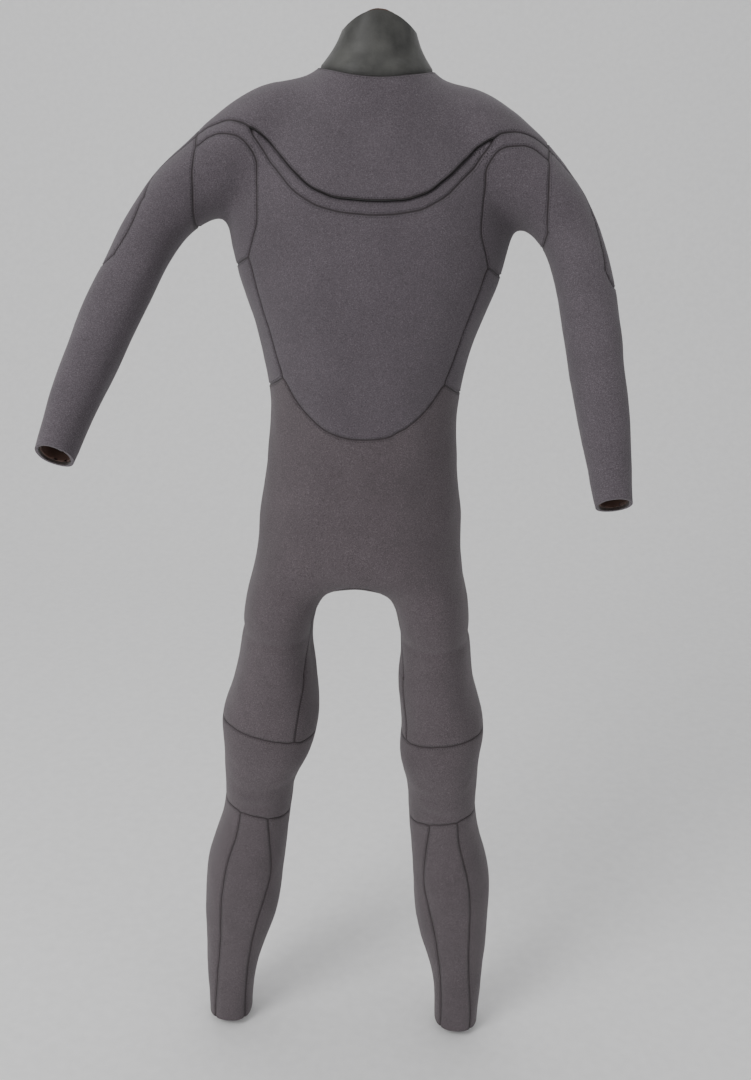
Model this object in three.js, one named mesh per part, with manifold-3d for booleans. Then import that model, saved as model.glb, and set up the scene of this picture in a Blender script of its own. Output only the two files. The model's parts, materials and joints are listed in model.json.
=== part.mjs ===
// A full-length wetsuit with a chest zip, standing open as if worn: +Z up, the front facing -Y, the
// wearer's left at +X. The origin is midway between the shoulders, at the height where a hanger's neck
// would pass inside the collar. All sizes are in millimetres.
import * as THREE from "three";
import { mergeVertices } from "three/addons/utils/BufferGeometryUtils.js";
import Module from "manifold-3d";

const wasm = await Module();
wasm.setup();

// ---------- driving dimensions ----------
const NEOPRENE = 4; // thickness of every outer panel
const SEAM_GAP = 0.5; // width of the gap between two sewn panels
const SEAL_THICKNESS = 2; // smooth inner seals at neck, wrists and ankles
const FIT = 0.6; // clearance between a piece and what it lies against
const SECTION_POWER = 2.3; // 2 is an ellipse, higher is boxier
const TORSO_SIDES = 24;
const ARM_SIDES = 12;
const LEG_SIDES = 14;
const RING_STEP = 55; // longest distance between two rings of a loft
const SEAM_STEP = 24; // distance between the points along a seam

const COLLAR_SEAM = 19; // height of the collar's seam at the sides of the neck
const COLLAR_DIP = 8; // how far that seam drops at the front
const COLLAR_HEIGHT = 61; // side seam to the middle of the rim
const RIM_DROP = 21; // how much lower the rim is at its sides
const CROTCH = 615; // origin down to the crotch
const LEG_LENGTH = 727; // crotch down to the ankle hem

// The stations and seams below are drawn for the lengths above; level() stretches them, below the
// chest, to whatever the driving lengths are.
const DRAWN = { chest: 205, crotch: 615, leg: 727 };
function level(z) {
  if (z > -DRAWN.chest) return z;
  if (z > -DRAWN.crotch) {
    const part = (-z - DRAWN.chest) / (DRAWN.crotch - DRAWN.chest);
    return -DRAWN.chest - part * (CROTCH - DRAWN.chest);
  }
  return -CROTCH - ((-z - DRAWN.crotch) * LEG_LENGTH) / DRAWN.leg;
}

// Half sizes across (w) and front to back (d) of the torso, each at its height (z), centred on y.
const torso = {
  rim: { z: COLLAR_SEAM + COLLAR_HEIGHT, w: 32, d: 38, y: -2 },
  fold: { z: COLLAR_SEAM + 44, w: 41, d: 42, y: -1 },
  collar: { z: COLLAR_SEAM + 24, w: 50, d: 48, y: 0 },
  neck: { z: COLLAR_SEAM, w: 67, d: 60, y: 3 },
  nape: { z: -9, w: 98, d: 68, y: 5 },
  shoulder: { z: -55, w: 132, d: 84, y: 4 },
  armpit: { z: -150, w: 170, d: 106, y: 2 },
  chest: { z: -205, w: 161, d: 112, y: 0 },
  ribs: { z: -285, w: 134, d: 104, y: 0 },
  waist: { z: -365, w: 119, d: 92, y: 0 },
  belly: { z: -450, w: 122, d: 95, y: 4 },
  hip: { z: -545, w: 133, d: 106, y: 9 },
  seat: { z: -572, w: 138, d: 107, y: 9 },
  fork: { z: -600, w: 122, d: 101, y: 8 },
  crotch: { z: -617, w: 36, d: 62, y: 8 },
};

// The same for a leg, with x the middle of the leg and drop its distance below the crotch.
const leg = {
  root: { drop: -85, w: 46, d: 82, x: 64, y: 9 },
  join: { drop: -38, w: 62, d: 105, x: 75, y: 9 },
  top: { drop: 22, w: 53, d: 98, x: 95, y: 8 },
  upper: { drop: 85, w: 49, d: 84, x: 105, y: 4 },
  middle: { drop: 145, w: 54, d: 77, x: 110, y: 1 },
  bunch: { drop: 213, w: 61, d: 73, x: 121, y: -2 },
  knee: { drop: 253, w: 58, d: 69, x: 121, y: -5 },
  underKnee: { drop: 300, w: 50, d: 61, x: 128, y: -3 },
  shinTop: { drop: 350, w: 48, d: 58, x: 132, y: 3 },
  calf: { drop: 470, w: 56, d: 63, x: 152, y: 12 },
  underCalf: { drop: 535, w: 54, d: 58, x: 157, y: 13 },
  ankle: { drop: 645, w: 38, d: 43, x: 171, y: 9 },
  hem: { drop: DRAWN.leg, w: 33, d: 37, x: 174, y: 6 },
};

// The foam gathers on the inner side above one knee more than the other: added to the sizes above.
const KNEE_GATHER = { right: 12, left: -8 };
const GATHER_SHARE = { middle: 0.3, bunch: 1, knee: 0.5 };

// Each arm is posed by four points on its centre line; the two hang a little differently.
const armPose = {
  right: {
    side: -1,
    upper: new THREE.Vector3(-258, -52, -176),
    elbow: new THREE.Vector3(-289, -112, -252),
    forearm: new THREE.Vector3(-314, -175, -325),
    wrist: new THREE.Vector3(-331, -235, -391),
  },
  left: {
    side: 1,
    upper: new THREE.Vector3(240, -52, -168),
    elbow: new THREE.Vector3(259, -108, -245),
    forearm: new THREE.Vector3(272, -170, -334),
    wrist: new THREE.Vector3(284, -232, -421),
  },
};
// Half sizes of the arm: w in the plane the arm hangs in, d across it.
const arm = {
  neckEnd: { w: 32, d: 44 },
  shoulder: { w: 47, d: 56 },
  cap: { w: 52, d: 60 },
  top: { w: 40, d: 50 },
  upper: { w: 34, d: 41 },
  elbow: { w: 33, d: 36 },
  forearm: { w: 29, d: 33 },
  wrist: { w: 21, d: 26 },
};
const ARM_ROOT_X = 48; // where the shoulder's loft starts inside the neck
const SHOULDER_X = 108;
const CAP_X = 166; // middle of the shoulder's round
const ARMHOLE_X = 203; // plane of the armhole seam
const SHOULDER_FLEX = 74; // length of the sleeve's flex ring past the armhole, along the arm
const ELBOW_FLEX = 80; // length of the elbow's flex ring
const HIP_FLEX_TOP = 52; // the thigh's flex ring starts this far below the crotch
const HIP_FLEX = 72;
const CUFF_SEAL = 45; // length of the wrist and ankle seals
const CUFF_INSET = 3; // how far a seal stops short of the cuff's edge

// Seams, as points across and up one half of the suit; the other half mirrors them.
const SHOULDER_TOP = [ARMHOLE_X, -62]; // where the yoke's front edge meets the armhole
const YOKE_EDGE = [
  [0, -120], [40, -118], [68, -108], [91, -88], [116, -62], [142, -44],
  [166, -42], [188, -50], SHOULDER_TOP,
];
const BAND_EDGE = [
  [0, -136], [30, -134], [60, -128], [84, -115], [106, -93], [122, -75], [136, -56], [147, -37],
];
const YOKE_BACK_EDGE = [
  [0, -165], [60, -160], [115, -128], [158, -98], [ARMHOLE_X, -84],
];
const CHEST_SEAM = [
  [ARMHOLE_X, -75], [189, -62], [172, -56], [154, -57], [141, -65], [132, -83], [127, -113], [128, -153],
  [139, -191],
];
const U_SEAM = [
  [139, -191], [127, -232], [112, -284], [97, -332], [72, -369], [38, -394], [0, -401],
];
const FLANK_SEAM = [
  [97, -332], [112, -346], [135, -372],
];
const UNDERARM_SEAM = [
  [139, -191], [158, -207], [196, -222],
];
const GUSSET_SEAM = [
  [0, -600], [20, -603], [36, -613], [48, -634], [58, -668], [64, -712], [68, -760], [75, -812], [78, -850],
];
const KNEE_TOP_SEAM = [
  [30, -842], [70, -836], [100, -829], [130, -824], [160, -819], [200, -822],
];
const KNEE_LOW_SEAM = [
  [60, -980], [90, -971], [115, -962], [140, -957], [165, -951], [200, -956],
];
const SHIN_OUTER_SEAM = [
  [150, -950], [157, -995], [170, -1045], [179, -1100], [182, -1170], [188, -1250], [194, -1315], [195, -1375],
];
const SHIN_INNER_SEAM = [
  [115, -955], [111, -1005], [110, -1058], [117, -1100], [134, -1170], [144, -1240], [149, -1310], [150, -1375],
];
const POINT_SEAM = {
  right: [[ARMHOLE_X - 8, -55], [228, -84], [250, -106], [264, -136], [276, -168], [294, -196], [325, -222]],
  left: [[ARMHOLE_X - 8, -55], [222, -80], [244, -106], [258, -136], [267, -168], [276, -200], [310, -232]],
};
const SIDE_SEAM_Y = 14; // depth of the seam down the outside of the hips and legs

// The zip lies flat behind the yoke's edge, leaning with the chest.
const ZIP_LENGTH = 124;
const ZIP_Z = -100;
const ZIP_DEPTH = 25; // from the front of the chest to the middle of the zip
const ZIP_LEAN = 0.23; // how far it leans back, as the chest does, in radians
const TOOTH_PITCH = 6.2;
const TOOTH_ROW = 2.4; // height of one row of teeth
const TOOTH_THICKNESS = 2.6;
const ROW_GAP = 2; // between the two rows, where the slider's post runs
const TAPE_HEIGHT = 14;
const TAPE_THICKNESS = 1.2;
const SLIDER = { length: 11, height: 10, plate: 1.2, post: 1.2, postLength: 3 };
const PULL = { length: 24, width: 7, thickness: 1.4, pin: 1.2 };
const STOP = { length: 3, height: 8 };

// ---------- materials ----------
const paint = (color, roughness) => new THREE.MeshStandardMaterial({ color, roughness, metalness: 0 });
const jersey = () => paint(0x5a5157, 0.95);
const lowerJersey = () => paint(0x594f50, 0.95);
const smoothSkin = () => paint(0x2b2b2a, 0.55);
const sealSkin = () => paint(0x4b3a35, 0.7);
const tapeCloth = () => paint(0x1d1b1c, 0.9);
const plastic = () => paint(0x17171a, 0.45);

// ---------- tools ----------
const vec = (x, y, z) => new THREE.Vector3(x, y, z);

// A solid from a closed three.js geometry.
function solid(geometry) {
  const bare = new THREE.BufferGeometry().setAttribute("position", geometry.getAttribute("position"));
  if (geometry.index) bare.setIndex(geometry.index);
  const merged = mergeVertices(bare, 1e-4);
  return new wasm.Manifold(
    new wasm.Mesh({
      numProp: 3,
      vertProperties: new Float32Array(merged.attributes.position.array),
      triVerts: new Uint32Array(merged.index.array),
    }),
  );
}

function node(name, shape, material) {
  const mesh = shape.getMesh();
  const geometry = new THREE.BufferGeometry();
  geometry.setAttribute("position", new THREE.BufferAttribute(mesh.vertProperties, 3));
  geometry.setIndex(new THREE.BufferAttribute(mesh.triVerts, 1));
  geometry.computeVertexNormals();
  const made = new THREE.Mesh(geometry, material);
  made.name = name;
  return made;
}

// A smooth value along a list of [at, value] pairs, in rising order of at.
function profile(pairs) {
  const last = pairs.length - 1;
  const slopes = pairs.map((_, i) => {
    const a = pairs[Math.max(i - 1, 0)];
    const b = pairs[Math.min(i + 1, last)];
    return (b[1] - a[1]) / (b[0] - a[0]);
  });
  return (at) => {
    if (at <= pairs[0][0]) return pairs[0][1];
    if (at >= pairs[last][0]) return pairs[last][1];
    const i = pairs.findIndex((p) => p[0] > at) - 1;
    const span = pairs[i + 1][0] - pairs[i][0];
    const t = (at - pairs[i][0]) / span;
    const t2 = t * t;
    const t3 = t2 * t;
    return (
      (2 * t3 - 3 * t2 + 1) * pairs[i][1] +
      (t3 - 2 * t2 + t) * span * slopes[i] +
      (3 * t2 - 2 * t3) * pairs[i + 1][1] +
      (t3 - t2) * span * slopes[i + 1]
    );
  };
}

// A closed tube through rings, each { centre, across, through, w, d }: half sizes w along across
// and d along through. It faces out whichever way the rings run.
function loft(rings, sides) {
  const round = (c) => Math.sign(c) * Math.abs(c) ** (2 / SECTION_POWER);
  const points = [];
  for (const { centre, across, through, w, d } of rings) {
    for (let j = 0; j < sides; j++) {
      const angle = (2 * Math.PI * j) / sides;
      points.push(
        centre
          .clone()
          .addScaledVector(across, w * round(Math.cos(angle)))
          .addScaledVector(through, d * round(Math.sin(angle))),
      );
    }
  }
  const first = points.push(rings[0].centre) - 1;
  const last = points.push(rings.at(-1).centre) - 1;
  const faces = [];
  const top = (rings.length - 1) * sides;
  for (let j = 0; j < sides; j++) {
    const k = (j + 1) % sides;
    for (let i = 0; i < top; i += sides) {
      faces.push([i + j, i + k, i + sides + k], [i + j, i + sides + k, i + sides + j]);
    }
    faces.push([first, k, j], [last, top + j, top + k]);
  }
  const along = rings[1].centre.clone().sub(rings[0].centre);
  const outward = rings[0].across.clone().cross(rings[0].through).dot(along) > 0;
  const geometry = new THREE.BufferGeometry().setFromPoints(points);
  geometry.setIndex(faces.flatMap(([a, b, c]) => (outward ? [a, b, c] : [a, c, b])));
  return solid(geometry);
}

function steps(from, to, longest) {
  const count = Math.max(1, Math.round(Math.abs(to - from) / longest));
  return Array.from({ length: count + 1 }, (_, i) => from + ((to - from) * i) / count);
}

// A box given by its middle and full sizes.
function block(x, y, z, across, deep, high) {
  return solid(new THREE.BoxGeometry(across, deep, high).translate(x, y, z));
}

// A flat outline in the X-Z plane, extruded from one depth to another along Y.
function slab(outline, yFrom, yTo) {
  const shape = new THREE.Shape(outline.map(([x, z]) => new THREE.Vector2(x, z)));
  const geometry = new THREE.ExtrudeGeometry(shape, { depth: yTo - yFrom, bevelEnabled: false });
  return solid(geometry.rotateX(Math.PI / 2).translate(0, yTo, 0));
}

// A thin wall of the seam gap's width along a smooth line in the X-Z plane, running through depth.
// Its ends run on by half a gap, so that walls that meet leave nothing between them.
function wall(line, yFrom, yTo) {
  const curve = new THREE.SplineCurve(line.map(([x, z]) => new THREE.Vector2(x, z)));
  const parts = line.length - 1; // a whole number of steps in each, so that it passes through every point
  const count = parts * Math.max(1, Math.round(curve.getLength() / SEAM_STEP / parts));
  const sides = [[], []];
  for (let i = 0; i <= count; i++) {
    const t = curve.getTangent(i / count);
    const p = curve.getPoint(i / count);
    if (i === 0) p.addScaledVector(t, -SEAM_GAP / 2);
    if (i === count) p.addScaledVector(t, SEAM_GAP / 2);
    sides[0].push([p.x - (t.y * SEAM_GAP) / 2, p.y + (t.x * SEAM_GAP) / 2]);
    sides[1].push([p.x + (t.y * SEAM_GAP) / 2, p.y - (t.x * SEAM_GAP) / 2]);
  }
  return slab([...sides[0], ...sides[1].reverse()], yFrom, yTo);
}

// A seam at its stretched height, and the same on the other side.
const drawn = (line) => line.map(([x, z]) => [x, level(z)]);
const mirrored = (line) => line.map(([x, z]) => [-x, z]);
const bothHalves = (line) => [...mirrored(line).reverse(), ...line.slice(1)];

// Cuts a piece along walls and gives its parts.
function split(piece, ...walls) {
  for (const w of walls) piece = piece.subtract(w);
  return piece.decompose();
}

// The part that comes nearest to a point; the rest stays in the list.
function take(parts, point) {
  const distance = (part) => {
    const v = part.getMesh().vertProperties;
    let best = Infinity;
    for (let i = 0; i < v.length; i += 3) {
      best = Math.min(best, point.distanceTo(vec(v[i], v[i + 1], v[i + 2])));
    }
    return best;
  };
  const ranked = parts.map((part, i) => [distance(part), i]).sort((a, b) => a[0] - b[0]);
  return parts.splice(ranked[0][1], 1)[0];
}

// ---------- the body's shape ----------
const X = vec(1, 0, 0);
const Y = vec(0, 1, 0);
const FAR = 400; // reaches past the suit's surface in any direction

for (const s of Object.values(torso)) s.z = level(s.z);
for (const s of Object.values(leg)) s.drop = -CROTCH - level(-DRAWN.crotch - s.drop);
const torsoStations = Object.values(torso).sort((a, b) => a.z - b.z);
const profiles = (stations, along, keys) =>
  Object.fromEntries(keys.map((k) => [k, profile(stations.map((s) => [s[along], s[k]]))]));
const torsoAt = profiles(torsoStations, "z", ["w", "d", "y"]);
const legStations = Object.values(leg);

// A leg's sizes down its length, with its own gather above the knee moving only the inner side.
function legProfiles(gather) {
  const stations = Object.entries(leg).map(([key, s]) => {
    const more = (gather * (GATHER_SHARE[key] ?? 0)) / 2;
    return { ...s, w: s.w + more, x: s.x - more };
  });
  return profiles(stations, "drop", ["w", "d", "x", "y"]);
}
const legAt = { [-1]: legProfiles(KNEE_GATHER.right), 1: legProfiles(KNEE_GATHER.left) };

// The places of a tube's rings: one at every station and more wherever two are far apart.
const ringPlaces = (places) =>
  places.flatMap((place, i) => (i ? steps(places[i - 1], place, RING_STEP).slice(1) : [place]));

// The torso and neck as one tube, inset from the outer surface; past lets the neck run on upwards.
function torsoTube(inset, past) {
  const rings = ringPlaces(torsoStations.map((s) => s.z)).map((z, i) => ({
    centre: vec(0, torsoAt.y(z), i ? z : z + inset),
    across: X,
    through: Y,
    w: torsoAt.w(z) - inset,
    d: torsoAt.d(z) - inset,
  }));
  const rim = rings.at(-1);
  rings.push({ ...rim, centre: rim.centre.clone().setZ(rim.centre.z + past) });
  return loft(rings, TORSO_SIDES);
}

function legTube(side, inset, past) {
  const rings = ringPlaces(legStations.map((s) => s.drop)).map((drop) => ({
    centre: vec(side * legAt[side].x(drop), legAt[side].y(drop), -CROTCH - drop),
    across: X,
    through: Y,
    w: legAt[side].w(drop) - inset,
    d: legAt[side].d(drop) - inset,
  }));
  const hem = rings.at(-1);
  rings.push({ ...hem, centre: hem.centre.clone().setZ(hem.centre.z - past) });
  return loft(rings, LEG_SIDES);
}

// The arm's centre line from inside the neck to the wrist, and its half sizes along it.
function armLine({ side, upper, elbow, forearm, wrist }) {
  const cap = vec(side * CAP_X, -2, -90);
  const top = cap.clone().lerp(upper, 0.52).add(vec(side * 8, 3, 6));
  const root = vec(side * ARM_ROOT_X, 4, -25);
  const shoulder = vec(side * SHOULDER_X, 3, -44);
  const curve = new THREE.CatmullRomCurve3([root, shoulder, cap, top, upper, elbow, forearm, wrist]);
  const keys = ["neckEnd", "shoulder", "cap", "top", "upper", "elbow", "forearm", "wrist"];
  const at = (k) => profile(keys.map((key, i) => [i / (keys.length - 1), arm[key][k]]));
  return { curve, w: at("w"), d: at("d") };
}

// The frame across the arm at a place on its line: tangent, in the hanging plane, and across it.
function armFrame(line, t) {
  const tangent = line.curve.getTangent(t);
  const through = Y.clone().addScaledVector(tangent, -Y.dot(tangent)).normalize();
  const across = tangent.clone().cross(through);
  return { centre: line.curve.getPoint(t), tangent, across, through };
}

function armTube(line, inset, past) {
  const count = Math.round(line.curve.getLength() / RING_STEP);
  const rings = steps(0, 1, 1 / count).map((t) => ({
    ...armFrame(line, t),
    w: line.w(t) - inset,
    d: line.d(t) - inset,
  }));
  const cuff = rings.at(-1);
  rings.push({ ...cuff, centre: cuff.centre.clone().addScaledVector(cuff.tangent, past) });
  return loft(rings, ARM_SIDES);
}

const lines = { right: armLine(armPose.right), left: armLine(armPose.left) };

function body(inset, past) {
  let all = torsoTube(inset, past);
  for (const side of [-1, 1]) all = all.add(legTube(side, inset, past));
  for (const line of Object.values(lines)) all = all.add(armTube(line, inset, past));
  return all;
}

// A big block beyond a plane: everything past point along normal.
function beyond(point, normal, size = FAR) {
  const geometry = new THREE.BoxGeometry(size, size, size).translate(0, 0, size / 2);
  const turn = new THREE.Quaternion().setFromUnitVectors(vec(0, 0, 1), normal.clone().normalize());
  return solid(geometry.applyQuaternion(turn).translate(point.x, point.y, point.z));
}

// A thin plate across the arm at a place on its line, as wide as the arm and no wider.
function armCut(line, t, reach = 78) {
  const { centre, tangent } = armFrame(line, t);
  const geometry = new THREE.BoxGeometry(2 * reach, 2 * reach, SEAM_GAP);
  const turn = new THREE.Quaternion().setFromUnitVectors(vec(0, 0, 1), tangent);
  return solid(geometry.applyQuaternion(turn).translate(centre.x, centre.y, centre.z));
}

// The place on an arm's line where it first passes the armhole seam's plane.
function armholeAt(line) {
  return steps(0, 1, 0.002).find((t) => Math.abs(line.curve.getPoint(t).x) > ARMHOLE_X);
}
const elbowAt = 5 / 7; // the elbow is the sixth of the arm's eight points
const alongArm = (line, length) => length / line.curve.getLength();

// The collar's rim: everything above an arch that drops to the sides.
function aboveRim(lift) {
  const top = COLLAR_SEAM + COLLAR_HEIGHT + lift;
  const halfWidth = torso.fold.w + 1;
  const arch = steps(-1, 1, 0.125).map((s) => [s * halfWidth, top - RIM_DROP * s * s]);
  const outline = [[-FAR, FAR], ...[[-FAR, top - RIM_DROP]], ...arch, [FAR, top - RIM_DROP], [FAR, FAR]];
  return slab(outline.reverse(), -FAR, FAR);
}

const HEM = -CROTCH - LEG_LENGTH;
const END = 24; // how far the tubes run on past the edges they are trimmed to

function shell() {
  let suit = body(0, END).subtract(body(NEOPRENE, 2 * END));
  suit = suit.subtract(aboveRim(0)).subtract(block(0, 0, HEM - FAR / 2, 2 * FAR, FAR, FAR));
  for (const line of Object.values(lines)) {
    const { centre, tangent } = armFrame(line, 1);
    suit = suit.subtract(beyond(centre, tangent, 160));
  }
  return suit;
}

// ---------- cutting the shell into its panels ----------
const group = new THREE.Group();
const add = (name, shape, material) => group.add(node(name, shape, material));

const COLLAR_LINE = [
  [0, COLLAR_SEAM - COLLAR_DIP], [24, COLLAR_SEAM - 0.85 * COLLAR_DIP], [46, COLLAR_SEAM - 0.4 * COLLAR_DIP],
  [66, COLLAR_SEAM], [100, COLLAR_SEAM + 2],
];
const collarSeam = wall(
  bothHalves(COLLAR_LINE),
  -FAR,
  FAR,
);

function cutTorso() {
  const armholes = [-1, 1].map((s) => block(s * ARMHOLE_X, 0, -115, SEAM_GAP, FAR, 230));
  const hips = block(0, 0, -CROTCH - HIP_FLEX_TOP, FAR, FAR, SEAM_GAP);
  const parts = split(shell(), collarSeam, hips, ...armholes);
  add("neck_collar", take(parts, vec(0, -torso.collar.d, torso.collar.z)), smoothSkin());
  const limbs = {
    right: take(parts, armPose.right.elbow),
    left: take(parts, armPose.left.elbow),
    rightLeg: take(parts, vec(-leg.knee.x, 0, -CROTCH - leg.knee.drop)),
    leftLeg: take(parts, vec(leg.knee.x, 0, -CROTCH - leg.knee.drop)),
  };

  const yokeWalls = [wall(bothHalves(YOKE_EDGE), -FAR, 0), wall(bothHalves(YOKE_BACK_EDGE), 0, FAR)];
  const trunk = split(take(parts, vec(0, -torso.belly.d, torso.belly.z)), ...yokeWalls);
  add("shoulder_yoke", take(trunk, vec(0, -72, -45)), jersey());

  const seams = [];
  for (const turn of [(line) => line, mirrored]) {
    for (const line of [CHEST_SEAM, FLANK_SEAM, UNDERARM_SEAM]) seams.push(wall(turn(drawn(line)), -FAR, FAR));
  }
  seams.push(wall(bothHalves(drawn(U_SEAM).reverse()), -FAR, FAR));
  seams.push(wall(bothHalves(BAND_EDGE), -FAR, 0));
  const rest = split(take(trunk, vec(0, -torso.belly.d, torso.belly.z)), ...seams);
  add("chest_band", take(rest, vec(0, -98, -128)), jersey());
  add("chest_panel", take(rest, vec(0, -torso.chest.d, torso.ribs.z)), jersey());
  add("back_panel", take(rest, vec(0, torso.ribs.d, torso.ribs.z)), jersey());
  const belly = take(rest, vec(0, -torso.belly.d, torso.belly.z));
  const lower = split(belly, wall(bothHalves(drawn(GUSSET_SEAM)), -FAR, FAR));
  add("crotch_gusset", take(lower, vec(0, 8, -CROTCH)), lowerJersey());
  const around = take(lower, vec(0, -torso.belly.d, torso.belly.z));
  const halves = split(around, block(0, SIDE_SEAM_Y, -CROTCH, FAR, SEAM_GAP, FAR * 2));
  add("lower_front_panel", take(halves, vec(0, -torso.belly.d, torso.belly.z)), lowerJersey());
  add("seat_panel", take(halves, vec(0, torso.hip.y + torso.hip.d, torso.hip.z)), lowerJersey());
  for (const [name, s] of [["right", -1], ["left", 1]]) {
    add(`underarm_gusset_${name}`, take(rest, vec(s * 170, -60, -120)), jersey());
    add(`side_panel_${name}`, take(rest, vec(s * 137, 0, -275)), jersey());
  }
  return limbs;
}

function cutArm(name, limb) {
  const line = lines[name];
  const pointSeam = POINT_SEAM[name].map(([x, z]) => [armPose[name].side * x, z]);
  const whole = split(limb, wall(pointSeam, -FAR, FAR));
  const start = armholeAt(line);
  const elbowHalf = alongArm(line, ELBOW_FLEX / 2);
  const parts = split(
    take(whole, armPose[name].wrist),
    armCut(line, start + alongArm(line, SHOULDER_FLEX)),
    armCut(line, elbowAt - elbowHalf),
    armCut(line, elbowAt + elbowHalf),
  );
  add(`shoulder_point_${name}`, whole[0], jersey());
  add(`shoulder_flex_${name}`, take(parts, line.curve.getPoint(start)), jersey());
  add(`elbow_flex_${name}`, take(parts, armPose[name].elbow), jersey());
  add(`forearm_sleeve_${name}`, take(parts, armPose[name].wrist), jersey());
  add(`upper_sleeve_${name}`, take(parts, armPose[name].upper), jersey());
  const inner = armTube(line, NEOPRENE + FIT, 0).subtract(armTube(line, NEOPRENE + FIT + SEAL_THICKNESS, END));
  const end = armFrame(line, 1 - alongArm(line, CUFF_INSET));
  const begin = armFrame(line, 1 - alongArm(line, CUFF_INSET + CUFF_SEAL));
  const seal = inner
    .intersect(beyond(begin.centre, begin.tangent, 160))
    .subtract(beyond(end.centre, end.tangent, 160));
  add(`wrist_seal_${name}`, seal, sealSkin());
}

function cutLeg(name, side, limb) {
  const turn = (seam) => (side < 0 ? mirrored(drawn(seam)) : drawn(seam));
  const flexEnd = -CROTCH - HIP_FLEX_TOP - HIP_FLEX;
  const along = block(side * 120, 0, flexEnd, 240, FAR, SEAM_GAP);
  const parts = split(limb, along, wall(turn(KNEE_TOP_SEAM), -FAR, FAR), wall(turn(KNEE_LOW_SEAM), -FAR, FAR));
  const at = (s) => vec(side * s.x, 0, -CROTCH - s.drop);
  add(`hip_flex_${name}`, take(parts, at(leg.upper)), lowerJersey());

  const thighZ = -CROTCH - (leg.middle.drop + leg.bunch.drop) / 2;
  const thighSeams = [
    wall(turn(GUSSET_SEAM), -FAR, FAR),
    block(side * 190, SIDE_SEAM_Y, thighZ, 120, SEAM_GAP, 220),
  ];
  const thigh = split(take(parts, at(leg.middle)), ...thighSeams);
  add(`thigh_inner_${name}`, take(thigh, vec(side * (leg.middle.x - leg.middle.w), 0, thighZ)), lowerJersey());
  add(`thigh_front_${name}`, take(thigh, vec(side * leg.middle.x, -leg.middle.d, thighZ)), lowerJersey());
  add(`thigh_back_${name}`, take(thigh, vec(side * leg.middle.x, leg.middle.d, thighZ)), lowerJersey());

  const kneeZ = -CROTCH - leg.underKnee.drop;
  const knee = split(take(parts, at(leg.underKnee)), block(side * 120, SIDE_SEAM_Y, kneeZ, 240, SEAM_GAP, 250));
  add(`knee_panel_${name}`, take(knee, vec(side * leg.knee.x, -leg.knee.d, kneeZ)), lowerJersey());
  add(`knee_back_${name}`, take(knee, vec(side * leg.knee.x, leg.knee.d, kneeZ)), lowerJersey());

  const shinSeams = [SHIN_OUTER_SEAM, SHIN_INNER_SEAM].map((seam) => wall(turn(seam), -FAR, leg.calf.y));
  const calf = split(parts[0], ...shinSeams);
  const calfZ = -CROTCH - leg.calf.drop;
  add(`shin_panel_${name}`, take(calf, vec(side * leg.calf.x, leg.calf.y - leg.calf.d, calfZ)), lowerJersey());
  add(`calf_panel_${name}`, take(calf, vec(side * leg.calf.x, leg.calf.y + leg.calf.d, calfZ)), lowerJersey());

  const inner = legTube(side, NEOPRENE + FIT, 0).subtract(legTube(side, NEOPRENE + FIT + SEAL_THICKNESS, END));
  const middle = HEM + CUFF_INSET + CUFF_SEAL / 2;
  const cuff = block(side * leg.hem.x, 0, middle, 160, FAR, CUFF_SEAL);
  add(`ankle_seal_${name}`, inner.intersect(cuff), sealSkin());
}

const limbs = cutTorso();
cutArm("right", limbs.right);
cutArm("left", limbs.left);
cutLeg("right", -1, limbs.rightLeg);
cutLeg("left", 1, limbs.leftLeg);

// ---------- inner neck seal ----------
function neckSeal() {
  const base = COLLAR_SEAM + 4;
  const tube = torsoTube(NEOPRENE + FIT, 10).subtract(torsoTube(NEOPRENE + FIT + SEAL_THICKNESS, END));
  return tube.intersect(block(0, 0, base + FAR / 2, FAR, FAR, FAR)).subtract(aboveRim(2));
}
add("neck_seal", neckSeal(), sealSkin());

// ---------- the zip, in its own leaning frame: X along it, -Y to the front ----------
const zip = new THREE.Group();
zip.position.set(0, torsoAt.y(ZIP_Z) - torsoAt.d(ZIP_Z) + ZIP_DEPTH, ZIP_Z);
zip.rotation.x = -ZIP_LEAN;
group.add(zip);
const addZip = (name, shape, material) => zip.add(node(name, shape, material));

function toothRow(up) {
  const base = up * (ROW_GAP / 2 + TOOTH_ROW);
  const low = up * (ROW_GAP / 2);
  const valley = up * (ROW_GAP / 2 + TOOTH_ROW * 0.45);
  const half = ZIP_LENGTH / 2;
  const slope = 0.6;
  const tooth = (x) => [
    [x, valley],
    [x + slope, low],
    [x + TOOTH_PITCH / 2, low],
    [x + TOOTH_PITCH / 2 + slope, valley],
  ];
  const teeth = steps(-half, half, TOOTH_PITCH).slice(0, -1).flatMap(tooth);
  const outline = [...teeth, [half, valley], [half, base], [-half, base]];
  return slab(up > 0 ? outline : outline.reverse(), -TOOTH_THICKNESS / 2, TOOTH_THICKNESS / 2);
}

function tape(up) {
  const inner = ROW_GAP / 2 + TOOTH_ROW + 0.3;
  return block(0, 0, up * (inner + TAPE_HEIGHT / 2), ZIP_LENGTH + 2 * STOP.length, TAPE_THICKNESS, TAPE_HEIGHT);
}

const PLATE_Y = TOOTH_THICKNESS / 2 + 0.5 + SLIDER.plate / 2;
const SLIDER_X = -ZIP_LENGTH / 2 + SLIDER.length; // closed end, at the wearer's right
const EYE_WIDTH = 1.6;
const LUG_THICKNESS = 1.2;
const LUG_Z = EYE_WIDTH / 2 + FIT + LUG_THICKNESS / 2;
const PIN_STAND = 2; // from the front plate to the middle of the pull's pin
const PIN_Y = -PLATE_Y - SLIDER.plate / 2 - PIN_STAND;

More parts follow.
